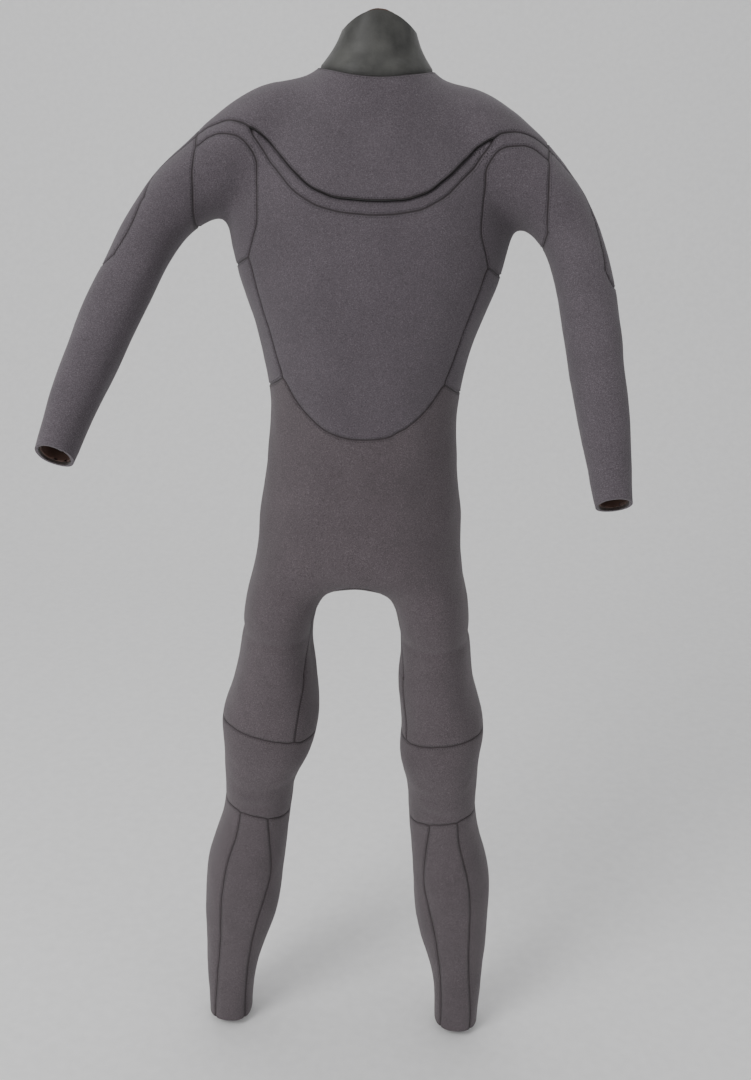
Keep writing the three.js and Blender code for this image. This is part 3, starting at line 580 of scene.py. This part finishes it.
# The gusset's and the side's seams run on through the rings of cloth at the top of the thighs.
RINGS = [PANELS.index(f"hip_flex_{side}") for side, _ in SIDES]
in_ring = np.zeros(len(points), bool)
in_ring[faces[np.isin(label, RINGS)].ravel()] = True
SIDE_SEAM_Y, SIDE_SEAM_FROM = 0.014, 0.115  # where the side's seam runs, and how far out it starts
THROUGH = (
    (lambda p: np.abs(p[:, 0]) - gusset_line(p[:, 2]), 0.0),
    (lambda p: p[:, 1] - SIDE_SEAM_Y, SIDE_SEAM_FROM),
)
through_seams = []
for f, least in THROUGH:
    value = np.where(in_ring, f(points), 1.0)
    points, data, faces, value = split(points, data, faces, value, SNAP)
    label = np.argmin(data[faces].mean(1), axis=1)
    in_ring = np.zeros(len(points), bool)
    in_ring[faces[np.isin(label, RINGS)].ravel()] = True
    chosen = (value == 0) & in_ring & (np.abs(points[:, 0]) > least)
    through_seams.append(set(np.where(chosen)[0].tolist()))

key, labels, real = seam_edges(faces, label)
for members in through_seams:
    inside = np.isin(key, list(members)).all(1)
    real |= inside & np.isin(labels[:, 0], RINGS)
yoke_lip = real & ((labels == YOKE).any(1)) & ((labels == BAND).any(1))


SAMPLE = 0.0006  # spacing of the samples along a seam


def nearest(points, a, b):
    """Distance from points to the segments from a to b, which are sampled, and at most FAR."""
    samples = []
    for p, q in zip(a, b):
        n = max(1, int(np.linalg.norm(q - p) / SAMPLE))
        samples.append(p + (q - p) * (np.arange(n + 1)[:, None] / n))
    samples = np.vstack(samples)
    tree = KDTree(len(samples))
    for i, s in enumerate(samples):
        tree.insert(s, i)
    tree.balance()
    return np.array([min(tree.find(p)[2], FAR) for p in points])


seam = nearest(points, points[key[real][:, 0]], points[key[real][:, 1]])
lip = nearest(points, points[key[yoke_lip][:, 0]], points[key[yoke_lip][:, 1]])
on_seam = np.zeros(len(points), bool)
on_seam[key[real].ravel()] = True
seam[on_seam] = 0
data = np.hstack([data, seam[:, None], lip[:, None]])
# Points are added along these two distances from the seams: the groove's foot and the line of the stitches.
GROOVE, STITCH = 0.0010, 0.0027
LEVEL_SNAP, ON_LEVEL = 3e-5, 3.1e-5
for level in (GROOVE, STITCH):
    above = np.where(data[:, -2] > 0.02, 1, data[:, -2] - level)
    points, data, faces, _ = split(points, data, faces, above, LEVEL_SNAP)
    near = np.abs(data[:, -2] - level) < ON_LEVEL
    data[near, -2] = level
seam, lip = data[:, -2], data[:, -1]
label = np.argmin(data[faces][:, :, : len(PANELS)].mean(1), axis=1)
normals = vertex_normals(points, faces)
on_seam = seam < 1e-9


# ---------- building the panels ----------
def chains(edges):
    """Joins edges end to end into lists of vertices."""
    near = {}
    for a, b in edges:
        near.setdefault(a, []).append(b)
        near.setdefault(b, []).append(a)
    out, seen = [], set()
    starts = [v for v in near if len(near[v]) != 2] + list(near)
    for s in starts:
        for t in near[s]:
            if (min(s, t), max(s, t)) in seen:
                continue
            line, a, b = [s], s, t
            while True:
                seen.add((min(a, b), max(a, b)))
                line.append(b)
                if len(near[b]) != 2:
                    break
                c = near[b][0] if near[b][1] == a else near[b][1]
                if (min(b, c), max(b, c)) in seen:
                    break
                a, b = b, c
            out.append(line)
    return out


ROUND = 5  # sides of a thread, which has three rings


def along(s, at, values):
    """The values at length s along a line, at being the length at each of its vertices."""
    return np.array([np.interp(s, at, values[:, k]) for k in range(3)])


def stitches(points, normals, lines, pitch=0.0034, length=0.0021, radius=0.00034):
    """Short threads laid along lines of vertices. Gives vertices and faces."""
    verts, polys = [], []
    for line in lines:
        p, n = points[line], normals[line]
        step = np.linalg.norm(np.diff(p, axis=0), axis=1)
        at = np.r_[0, np.cumsum(step)]
        if at[-1] < 0.008:
            continue
        count = int(at[-1] / pitch)
        for i in range(count):
            s = (i + 0.5) * at[-1] / count
            mid, up = along(s, at, p), along(s, at, n)
            fore = along(min(s + length / 2, at[-1]), at, p)
            aft = along(max(s - length / 2, 0), at, p)
            side = np.cross(fore - aft, up)
            side /= max(np.linalg.norm(side), 1e-9)
            base = len(verts)
            for q, r, rise in ((aft, 0.35, -0.4), (mid, 1.0, 0.35), (fore, 0.35, -0.4)):
                for j in range(ROUND):
                    a = 2 * math.pi * j / ROUND
                    verts.append(q + radius * (side * math.cos(a) * r + up * (math.sin(a) * r + rise)))
            for ring in (base, base + ROUND):
                for j in range(ROUND):
                    k = (j + 1) % ROUND
                    polys.append((ring + j, ring + k, ring + ROUND + k, ring + ROUND + j))
            polys.append(tuple(base + j for j in reversed(range(ROUND))))
            polys.append(tuple(base + 2 * ROUND + j for j in range(ROUND)))
    return verts, polys


def groove(d, near_lip, k):
    """How far a panel's face drops towards its seams; the yoke's front edge stands proud instead."""
    drop = 0.0015 * np.exp(-((d / 0.0011) ** 1.4)) + 0.0004 * np.exp(-((d / 0.005) ** 2))
    if k == YOKE:
        edge = 0.0022 * np.clip(1 - near_lip / 0.030, 0, 1) ** 1.3
        return drop * np.clip(near_lip / 0.008, 0.55, 1) - edge
    if k == BAND:
        return drop + 0.0016 * np.exp(-((near_lip / 0.006) ** 2))
    return drop


def panel(k):
    """A panel's own vertices and faces, with its outer and inner face."""
    name = PANELS[k]
    mine = faces[label == k]
    used, local = np.unique(mine, return_inverse=True)
    local = local.reshape(-1, 3)
    p, n = points[used], normals[used]
    d, near_lip = seam[used], lip[used]
    out = p - n * groove(d, near_lip, k)[:, None]
    inner = p - n * THICK
    return dict(name=name, k=k, used=used, faces=local, out=out, inner=inner, n=n, d=d, lip=near_lip)


panels = [panel(k) for k in range(len(PANELS))]
# normals of the finished surface: shared where the cloth runs on, each panel's own at a seam
shared = np.zeros_like(points)
for it in panels:
    own = vertex_normals(it["out"], it["faces"])
    it["own"] = own
    np.add.at(shared, it["used"], own)
for it in panels:
    both = shared[it["used"]]
    both /= np.maximum(np.linalg.norm(both, axis=1), 1e-9)[:, None]
    it["own"] = np.where(on_seam[it["used"]][:, None], it["own"], both)


def boundary(tri):
    """The edges that only one triangle has."""
    e = sides_of(tri)
    key, first, count = np.unique(np.sort(e, axis=1), axis=0, return_index=True, return_counts=True)
    return e[first[count == 1]]


def linked(name, data):
    made = bpy.data.objects.new(name, data)
    bpy.context.scene.collection.objects.link(made)
    return made


def mesh_object(name, verts, polys, normals, slots, materials, layers):
    """A mesh with its own normal at every face's corner."""
    mesh = bpy.data.meshes.new(name)
    mesh.from_pydata([tuple(v) for v in verts], [], polys)
    for m in materials:
        mesh.materials.append(m)
    mesh.polygons.foreach_set("material_index", slots)
    mesh.polygons.foreach_set("use_smooth", [True] * len(mesh.polygons))
    for layer, values in layers.items():
        mesh.attributes.new(layer, "FLOAT", "POINT").data.foreach_set("value", np.asarray(values, np.float32))
    if normals is not None:
        mesh.normals_split_custom_set([tuple(v) for v in normals])
    mesh.update()
    return linked(name, mesh)


def shell_object(it, name, materials):
    """The panel as cloth with an outside, an inside, rolled edges and its stitching."""
    tri, out, inner, own = it["faces"], it["out"], it["inner"], it["own"]
    n = len(out)
    walled = [e for e in boundary(tri).tolist() if (min(e), max(e)) not in it["flush"]]
    edge = np.array(walled, int).reshape(-1, 2)
    a, b = edge[:, 0], edge[:, 1]
    walls = np.stack([b, a, a + n, b + n], 1)
    verts = [*out, *inner]
    polys = [*map(tuple, tri.tolist()), *map(tuple, (tri[:, ::-1] + n).tolist()), *map(tuple, walls.tolist())]
    slots = [0] * len(tri) + [1] * len(tri) + [0] * len(walls)
    side = np.cross(out[b] - out[a], it["n"][a])
    side /= np.maximum(np.linalg.norm(side, axis=1), 1e-9)[:, None]
    outside, inside = own[tri].reshape(-1, 3), -it["n"][tri[:, ::-1]].reshape(-1, 3)
    loops = np.vstack([outside, inside, np.repeat(side, 4, axis=0)])
    lines = chains([tuple(e) for e in it["thread"]])
    extra, more = stitches(out, own, lines)
    base = len(verts)
    verts += extra
    polys += [tuple(base + i for i in q) for q in more]
    slots += [2] * len(more)
    if more:
        ev = np.array(extra)
        centre = ev.reshape(-1, 3 * ROUND, 3).mean(1)
        radial = ev - np.repeat(centre, 3 * ROUND, axis=0)
        radial /= np.maximum(np.linalg.norm(radial, axis=1), 1e-9)[:, None]
        loops = np.vstack([loops, radial[np.array([i for q in more for i in q])]])
    seam_layer = np.concatenate([it["d"], it["d"], np.full(len(extra), FAR)])
    lip_layer = np.concatenate([it["lip"], it["lip"], np.full(len(extra), FAR)])
    return mesh_object(name, verts, polys, loops, slots, materials, {"seam": seam_layer, "lip": lip_layer})


def plain_object(name, verts, polys, material):
    """A piece of one material, with no seams, that takes the place of the node of its name."""
    layers = {"seam": np.full(len(verts), FAR)}
    made = mesh_object(name + "_cloth", verts, polys, None, [0] * len(polys), [material], layers)
    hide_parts(name)
    pieces[name] = made
    return made


# ---------- materials ----------
def srgb(r, g, b):
    return tuple(((c / 255 + 0.055) / 1.055) ** 2.4 if c > 10 else c / 255 / 12.92 for c in (r, g, b)) + (1,)


class Shader:
    """A procedural material being built."""

    def __init__(self, name, rough=0.8, sheen=0.0, specular=0.5):
        self.material = bpy.data.materials.new(name)
        self.material.use_nodes = True
        self.tree = self.material.node_tree
        self.base = self.tree.nodes["Principled BSDF"]
        self.base.inputs["Roughness"].default_value = rough
        self.base.inputs["Sheen Weight"].default_value = sheen
        self.base.inputs["Sheen Roughness"].default_value = 0.6
        self.base.inputs["Specular IOR Level"].default_value = specular
        self.place = self.tree.nodes.new("ShaderNodeTexCoord").outputs["Object"]

    def add(self, kind, **values):
        made = self.tree.nodes.new(kind)
        for k, v in values.items():
            if k in made.inputs:
                made.inputs[k].default_value = v
            else:
                setattr(made, k, v)
        return made

    def link(self, a, b):
        self.tree.links.new(a, b)

    def stretch(self, x, y, z):
        made = self.add("ShaderNodeMapping")
        made.inputs["Scale"].default_value = (x, y, z)
        self.link(self.place, made.inputs["Vector"])
        return made.outputs[0]

    def noise(self, scale, detail=2.0, place=None, rough=0.5):
        made = self.add("ShaderNodeTexNoise", Scale=scale, Detail=detail, Roughness=rough)
        self.link(place or self.place, made.inputs["Vector"])
        return made.outputs["Fac"]

    def ramp(self, value, stops):
        made = self.add("ShaderNodeValToRGB")
        band = made.color_ramp
        band.elements[0].position, band.elements[0].color = stops[0]
        band.elements[1].position, band.elements[1].color = stops[-1]
        for at, colour in stops[1:-1]:
            band.elements.new(at).color = colour
        self.link(value, made.inputs["Fac"])
        return made.outputs["Color"]

    def mix(self, a, b, fac, kind="MIX"):
        made = self.add("ShaderNodeMix", data_type="RGBA", blend_type=kind)
        for socket, value in ((made.inputs[0], fac), (made.inputs[6], a), (made.inputs[7], b)):
            if isinstance(value, (int, float, tuple)):
                socket.default_value = value
            else:
                self.link(value, socket)
        return made.outputs[2]

    def math(self, a, b, kind="ADD"):
        made = self.add("ShaderNodeMath", operation=kind)
        for socket, value in zip(made.inputs, (a, b)):
            if isinstance(value, (int, float)):
                socket.default_value = value
            else:
                self.link(value, socket)
        return made.outputs[0]

    def bump(self, height, strength, distance):
        made = self.add("ShaderNodeBump", Strength=strength, Distance=distance)
        self.link(height, made.inputs["Height"])
        self.link(made.outputs[0], self.base.inputs["Normal"])

    def colour(self, socket):
        self.link(socket, self.base.inputs["Base Color"])
        return self.material

    def near(self, layer, reach):
        """1 on the line that the layer measures from, falling to 0 at reach."""
        at = self.add("ShaderNodeAttribute", attribute_name=layer)
        made = self.add("ShaderNodeMapRange", interpolation_type="SMOOTHSTEP")
        for i, v in zip(range(1, 5), (0.0, reach, 1.0, 0.0)):
            made.inputs[i].default_value = v
        self.link(at.outputs["Fac"], made.inputs[0])
        return made.outputs[0]


def grey(v):
    return (v, v, v, 1)


def heather(name, dark, mid, light):
    """Knitted jersey of mixed fibres on foam: flecks, soft mottling, painted shade along the seams and a
    painted shadow under the yoke's front edge.
    """
    s = Shader(name, rough=0.92, sheen=0.12, specular=0.25)
    fleck = s.noise(980, 3, rough=0.6)
    cloth = s.ramp(fleck, [(0.30, dark), (0.50, mid), (0.72, light)])
    fibre = s.noise(330, 2, s.stretch(1, 1, 3.2))
    cloth = s.mix(cloth, s.ramp(fibre, [(0.3, grey(0.62)), (0.7, grey(1.0))]), 0.35, "MULTIPLY")
    cloth = s.mix(cloth, s.ramp(s.noise(21, 3), [(0.3, grey(0.80)), (0.7, grey(1.0))]), 0.6, "MULTIPLY")
    # painted shade: the cloth darkens within about 2 mm of every seam, where the seam's groove is shaded
    cloth = s.mix(cloth, srgb(40, 34, 35), s.math(s.near("seam", 0.0021), 0.8, "MULTIPLY"))
    # painted shadow: both sides of the seam at the yoke's raised front edge darken within about 2.6 mm
    cloth = s.mix(cloth, srgb(24, 20, 21), s.math(s.near("lip", 0.0026), 0.85, "MULTIPLY"))
    knit = s.add("ShaderNodeTexVoronoi", Scale=820.0)
    s.link(s.place, knit.inputs["Vector"])
    height = s.math(s.math(knit.outputs["Distance"], 0.6, "MULTIPLY"), fleck)
    s.bump(height, 0.35, 0.0006)
    return s.colour(cloth)


def lining_material():
    s = Shader("dark lining", rough=0.95, sheen=0.3, specular=0.2)
    pile = s.noise(520, 3)
    s.bump(pile, 0.5, 0.0008)
    return s.colour(s.ramp(pile, [(0.3, srgb(24, 20, 19)), (0.7, srgb(62, 48, 42))]))


def skin_material(name, dark, light, rough):
    """Smooth-skin rubber: low sheen, fine creasing, slight clouding, and a painted shadow near its seams."""
    s = Shader(name, rough=rough, sheen=0.05, specular=0.35)
    cloud = s.noise(38, 4)
    fine = s.noise(900, 2)
    clouded = s.ramp(cloud, [(0.3, dark), (0.7, light)])
    shade = s.ramp(fine, [(0.3, grey(0.75)), (0.7, grey(1.0))])
    col = s.mix(clouded, shade, 0.5, "MULTIPLY")
    # painted shadow: darker within about 9 mm of a seam, which on the collar is at its foot
    col = s.mix(col, srgb(30, 29, 28), s.math(s.near("seam", 0.009), 0.55, "MULTIPLY"))
    s.bump(s.math(fine, s.math(s.noise(150, 3), 1.6, "MULTIPLY")), 0.18, 0.0006)
    return s.colour(col)


def thread_material():
    s = Shader("sewing thread", rough=0.7, sheen=0.1, specular=0.3)
    twist = s.noise(2600, 1)
    s.bump(twist, 0.4, 0.0002)
    return s.colour(s.ramp(twist, [(0.3, srgb(40, 35, 37)), (0.7, srgb(76, 68, 71))]))


def tape_material():
    s = Shader("woven tape", rough=0.85, sheen=0.2, specular=0.3)
    weave = s.add("ShaderNodeTexWave", wave_type="BANDS", bands_direction="Z", Scale=380.0, Distortion=1.5)
    s.link(s.place, weave.inputs["Vector"])
    s.bump(weave.outputs["Fac"], 0.5, 0.0004)
    return s.colour(s.ramp(weave.outputs["Fac"], [(0.2, srgb(18, 16, 17)), (0.8, srgb(38, 35, 36))]))


def plastic_material():
    s = Shader("moulded plastic", rough=0.42, specular=0.5)
    wear = s.noise(240, 4)
    s.bump(wear, 0.12, 0.0003)
    return s.colour(s.ramp(wear, [(0.3, srgb(20, 20, 22)), (0.75, srgb(36, 36, 38))]))


jersey = heather("heather jersey", srgb(66, 60, 65), srgb(87, 80, 86), srgb(114, 107, 113))
lower_jersey = heather("warm heather jersey", srgb(66, 59, 62), srgb(87, 79, 83), srgb(115, 106, 110))
collar_skin = skin_material("smooth collar rubber", srgb(50, 50, 48), srgb(78, 78, 75), 0.5)
seal_skin = skin_material("brown seal rubber", srgb(58, 42, 36), srgb(92, 66, 56), 0.65)
lining = lining_material()
thread = thread_material()
tape = tape_material()
plastic = plastic_material()

# ---------- the panels as objects ----------
key, labels = edge_table(faces, label)
flush_pairs = {tuple(sorted(PANELS.index(n) for n in pair)) for pair in FLUSH}
pieces = {}
index_of = np.full(len(points), -1)
flush_edges = {k: set() for k in range(len(PANELS))}
for (a, b), (i, j) in zip(key.tolist(), labels.tolist()):
    if j >= 0 and i != j and (min(i, j), max(i, j)) in flush_pairs:
        flush_edges[i].add((a, b))
        flush_edges[j].add((a, b))

# panels of the warmer cloth
LOWER = ("lower_front", "seat", "crotch", "hip_", "thigh", "knee", "shin", "calf")
for it in panels:
    k, used = it["k"], it["used"]
    index_of[used] = np.arange(len(used))
    it["flush"] = {tuple(sorted((int(index_of[a]), int(index_of[b])))) for a, b in flush_edges[k]}
    tri = it["faces"]
    e = edges_of(tri)
    on = np.abs(it["d"] - STITCH) < 1e-6
    it["thread"] = e[on[e].all(1)] if k != PANELS.index("neck_collar") else e[:0]
    index_of[used] = -1
    name = it["name"]
    cloth = collar_skin if name == "neck_collar" else lower_jersey if name.startswith(LOWER) else jersey
    made = shell_object(it, name + "_cloth", [cloth, lining, thread])
    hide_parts(name)
    pieces[name] = made


# ---------- the seals inside the collar and cuffs ----------
def lining_strip(name, lo, hi):
    """A band of the body's surface, between two functions, brought inwards: a seal with two faces."""
    p, d, f = below(skin, none, skin_faces, lo(skin))
    p, d, f = below(p, d, f, hi(p))
    n = vertex_normals(p, f)
    a, b = boundary(f).T
    count = len(p)
    verts = np.vstack([p - n * SEAL_OUT, p - n * SEAL_IN])
    walls = np.stack([b, a, a + count, b + count], 1)
    polys = [*map(tuple, f.tolist()), *map(tuple, (f[:, ::-1] + count).tolist()), *map(tuple, walls.tolist())]
    made = plain_object(name, verts, polys, seal_skin)


SEAL_OUT, SEAL_IN = THICK + 0.0006, THICK + 0.0024
NECK_SEAL_FOOT = 0.025
SEAL_SET, SEAL_REACH = 0.003, 0.048  # a limb's seal starts and ends this far from the limb's edge
lining_strip("neck_seal", lambda p: NECK_SEAL_FOOT - p[:, 2], lambda p: rim_height(p, 0.002))
for side, s in SIDES:
    lining_strip(
        f"ankle_seal_{side}",
        lambda p: np.where(s * p[:, 0] > 0, HEM + SEAL_SET - p[:, 2], 0.1),
        lambda p: p[:, 2] - (HEM + SEAL_REACH),
    )
    lining_strip(
        f"wrist_seal_{side}",
        lambda p: np.where(s * p[:, 0] > ARM_SIDE, -cuff_distance(p, side, SEAL_REACH), 0.1),
        lambda p: cuff_distance(p, side, SEAL_SET),
    )


# ---------- the zip, flap, pocket and loops ----------
def sheet_object(name, width, height, thick, place, bend, material, nx=40, nz=20, ripple=0.0):
    """A sheet with both faces and slightly thickened edges; place maps it into the frame, bend gives its
    depth.
    """
    rng = np.random.default_rng(11)
    us, vs = np.linspace(-0.5, 0.5, nx + 1), np.linspace(-0.5, 0.5, nz + 1)
    u, v = (g.ravel() for g in np.meshgrid(us, vs, indexing="ij"))
    flat = np.stack([u * width, np.zeros_like(u), v * height], 1)
    wave = ripple * waves(flat, rng, 0.05, 6)
    hem = 0.25 * thick * np.exp(-(((0.5 - np.maximum(np.abs(u), np.abs(v))) * width / 0.004) ** 2))
    front, back = [], []
    for i in range(len(u)):
        c, nrm = bend(u[i] * width, v[i] * height)
        front.append(c + nrm * (thick / 2 + hem[i]) + nrm * wave[i])
        back.append(c - nrm * (thick / 2 + hem[i]) + nrm * wave[i])
    n = len(u)
    verts = [place(p) for p in front + back]
    polys = []
    for i in range(nx):
        for j in range(nz):
            a, b = i * (nz + 1) + j, (i + 1) * (nz + 1) + j
            c, d = b + 1, a + 1
            polys += [(a, b, c, d), (d + n, c + n, b + n, a + n)]
    ring = [i * (nz + 1) for i in range(nx + 1)] + [nx * (nz + 1) + j for j in range(1, nz + 1)]
    ring += [i * (nz + 1) + nz for i in range(nx - 1, -1, -1)] + [j for j in range(nz - 1, 0, -1)]
    for a, b in zip(ring, ring[1:] + ring[:1]):
        polys.append((b, a, a + n, b + n))
    return plain_object(name, verts, polys, material)


ZIP_LEAN = 0.23  # radians that the zip leans, with the chest
turn = Matrix.Rotation(-ZIP_LEAN, 3, "X")
tape_corners = [corner for n in ("zip_tape_upper", "zip_tape_lower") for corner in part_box(n)]
zip_mid = Vector([sum(corner[k] for corner in tape_corners) / 4 for k in range(3)])


def zip_place(p):
    """From the zip's own axes, x along it and y into the chest, to the frame's."""
    return np.array(zip_mid + turn @ Vector(p))


def flat_sheet(y=0.0, z=0.0):
    """The middle and the normal of a flat sheet at each of its points."""
    return lambda a, b: (np.array([a, y, b + z]), np.array([0, -1.0, 0]))


TAPE = (0.130, 0.014, 0.0011)  # width, height and thickness
TAPE_OUT = 0.0107  # of each tape's middle from the zip's
for name, up in (("zip_tape_upper", 1), ("zip_tape_lower", -1)):
    made = sheet_object(name, *TAPE, zip_place, flat_sheet(0, up * TAPE_OUT), tape, 52, 8)


FLAP = (0.169, 0.073, 0.0017)  # width, height and thickness
FLAP_ROUND = 0.130  # radius that the flap bends to, around the chest
FLAP_BEHIND, FLAP_DOWN = 0.011, 0.004  # of the flap's middle from the zip's


def flap_bend(a, b):
    """The middle and the normal of the flap at each of its points."""
    angle = a / FLAP_ROUND
    deep = FLAP_BEHIND + FLAP_ROUND * (1 - math.cos(angle))
    middle = np.array([FLAP_ROUND * math.sin(angle), deep, b - FLAP_DOWN])
    return middle, np.array([math.sin(angle), -math.cos(angle), 0])


made = sheet_object("entry_flap", *FLAP, zip_place, flap_bend, seal_skin, 60, 28, 0.0005)
lo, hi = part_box("key_pocket")
mid = [(a + b) / 2 for a, b in zip(lo, hi)]
POCKET_SHORT, POCKET_THICK = 0.001, 0.0018  # how much smaller than the frame's node it is, and its thickness
made = sheet_object("key_pocket", hi[0] - lo[0] - POCKET_SHORT, hi[2] - lo[2] - POCKET_SHORT, POCKET_THICK,
                    lambda p: np.array(mid) + p, flat_sheet(), tape, 30, 34, 0.0004)


LOOP_STEPS = 64  # a quarter for each straight and each end


def loop_object(name, thick):
    """A ribbon closed into a long loop, its edges rounded."""
    lo, hi = (np.array(c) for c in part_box(name))
    c, size = (lo + hi) / 2, hi - lo
    r = size[2] / 2 - thick / 2
    half = size[0] / 2 - size[2] / 2
    path = []
    for i in range(LOOP_STEPS):
        t = i / LOOP_STEPS * 4
        if t < 1:
            path.append((half * (2 * t - 1), -r))
        elif t < 2:
            a = -math.pi / 2 + math.pi * (t - 1)
            path.append((half + r * math.cos(a), r * math.sin(a)))
        elif t < 3:
            path.append((half * (5 - 2 * t), r))
        else:
            a = math.pi / 2 + math.pi * (t - 3)
            path.append((-half + r * math.cos(a), r * math.sin(a)))
    path = np.array(path)
    tan = np.roll(path, -1, 0) - np.roll(path, 1, 0)
    tan /= np.linalg.norm(tan, axis=1)[:, None]
    nor = np.stack([tan[:, 1], -tan[:, 0]], 1)
    section_points = [(math.cos(a), math.sin(a)) for a in np.linspace(0, 2 * math.pi, 13)[:-1]]
    verts, polys = [], []
    m = len(section_points)
    for i, (q, nn) in enumerate(zip(path, nor)):
        for u, v in section_points:
            wide = np.sign(u) * abs(u) ** 0.35 * size[1] / 2
            high = np.sign(v) * abs(v) ** 0.6 * thick / 2
            verts.append((c[0] + q[0] + nn[0] * high, c[1] + wide, c[2] + q[1] + nn[1] * high))
    for i in range(len(path)):
        for j in range(m):
            a, b = i * m + j, i * m + (j + 1) % m
            e, f = ((i + 1) % len(path)) * m + j, ((i + 1) % len(path)) * m + (j + 1) % m
            polys.append((a, b, f, e))
    made = plain_object(name, verts, polys, tape)


loop_object("hanging_loop", 0.0014)
loop_object("key_loop", 0.0012)
for name, o in NODES.items():
    if name.startswith(("zip_teeth", "zip_slider", "zip_pull", "zip_stop")):
        o.data.materials.clear()
        o.data.materials.append(plastic)

# ---------- what each piece moves with ----------
BODY = {n: b for b, group in frame["record"]["behaviour"]["bodies"].items() for n in group}


def bend(names, a, b, toward, first, last):
    """Bakes each piece's transform into its mesh and blends nothing: a, b, first and last are not used, and
    the direction worked out from toward is not used either.
    """
    d = np.array(toward, float)
    d /= np.linalg.norm(d)
    for n in names:
        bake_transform(pieces[n])


bent = set()
for side, s in SIDES:
    sleeve = [f"shoulder_flex_{side}", f"shoulder_point_{side}", f"upper_sleeve_{side}"]
    elbow, forearm = [f"elbow_flex_{side}"], [f"forearm_sleeve_{side}"]
    trunk = [f"underarm_gusset_{side}", "shoulder_yoke", f"side_panel_{side}"]
    toward = (s * (0.55 if s < 0 else 0.5), -0.35, -0.78)
    bend(sleeve, "torso", f"upper_arm_{side}", toward, (sleeve, trunk), (sleeve, elbow))
    toward = ARMS[side][1][ELBOW]
    bend(elbow, f"upper_arm_{side}", f"forearm_{side}", toward, (elbow, sleeve), (elbow, forearm))
    hip, thigh = [f"hip_flex_{side}"], [f"thigh_{p}_{side}" for p in ("inner", "front", "back")]
    lower = ["lower_front_panel", "seat_panel", "crotch_gusset"]
    bend(hip, "torso", f"thigh_{side}", (0, 0, -1), (hip, lower), (hip, thigh))
    knee, shin = [f"knee_panel_{side}", f"knee_back_{side}"], [f"shin_panel_{side}", f"calf_panel_{side}"]
    bend(knee, f"thigh_{side}", f"shin_{side}", (0, 0, -1), (knee, thigh), (knee, shin))
    bent |= {*sleeve, *elbow, *hip, *knee}
for name, made in pieces.items():
    if name not in bent:
        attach(made, BODY[name])


# ---------- floor, light and camera ----------
def stage():
    s = Shader("pale floor", rough=0.9, specular=0.2)
    grain = s.noise(60, 4)
    s.bump(grain, 0.05, 0.001)
    pale = s.colour(s.ramp(grain, [(0.3, srgb(240, 240, 240)), (0.7, srgb(246, 246, 246))]))
    floor = HEM - 0.012
    outline = [(-6.0, floor)] + [
        (1.6 + 1.2 * math.sin(a), floor + 1.2 - 1.2 * math.cos(a)) for a in np.linspace(0, math.pi / 2, 18)
    ] + [(2.8, 5.0)]
    verts = [(x, y, z) for y, z in outline for x in (-7.0, 7.0)]
    polys = [(2 * i, 2 * i + 1, 2 * i + 3, 2 * i + 2) for i in range(len(outline) - 1)]
    mesh = bpy.data.meshes.new("backdrop")
    mesh.from_pydata(verts, [], polys)
    mesh.materials.append(pale)
    mesh.polygons.foreach_set("use_smooth", [True] * len(mesh.polygons))
    made = linked("backdrop", mesh)


def area(name, at, look, size, power, colour=(1, 1, 1)):
    light = bpy.data.lights.new(name, "AREA")
    light.shape, light.size, light.energy, light.color = "DISK", size, power, colour
    made = linked(name, light)
    made.location = at
    made.rotation_euler = (Vector(look) - Vector(at)).to_track_quat("-Z", "Y").to_euler()


def camera():
    """Level with the shoulders, a little to the wearer's left, looking down at the suit."""
    az, pitch, roll, yaw = (math.radians(v) for v in (1.5, 20.5, 2.0, 0.756))
    right = Vector((math.cos(az), math.sin(az), 0))
    ahead = Vector((-math.sin(az), math.cos(az), 0))
    look = ahead * math.cos(pitch) - Vector((0, 0, math.sin(pitch)))
    up = ahead * math.sin(pitch) + Vector((0, 0, math.cos(pitch)))
    look, right = look * math.cos(yaw) + right * math.sin(yaw), right * math.cos(yaw) - look * math.sin(yaw)
    right, up = right * math.cos(roll) + up * math.sin(roll), up * math.cos(roll) - right * math.sin(roll)
    lens = bpy.data.cameras.new("camera")
    lens.sensor_fit, lens.sensor_height, lens.lens = "VERTICAL", 24.0, 26.93
    made = linked("camera", lens)
    turn = Matrix((right, up, -look)).transposed()
    made.matrix_world = Matrix.Translation((0.0393, -1.4995, 0.0)) @ turn.to_4x4()
    bpy.context.scene.camera = made


stage()
area("key", (-2.0, -2.2, 1.9), (0, 0, -0.5), 1.6, 58)
area("fill", (2.2, -2.0, 0.8), (0, 0, -0.6), 2.2, 5)
area("top", (-0.2, 0.4, 2.6), (0, 0, -0.4), 1.6, 24)
area("low", (-1.9, -1.9, -0.5), (0, 0, -1.0), 1.6, 15)
world = bpy.data.worlds.new("studio")
world.use_nodes = True
world.node_tree.nodes["Background"].inputs[0].default_value = (0.92, 0.92, 0.93, 1)
world.node_tree.nodes["Background"].inputs[1].default_value = 0.56
bpy.context.scene.world = world
camera()
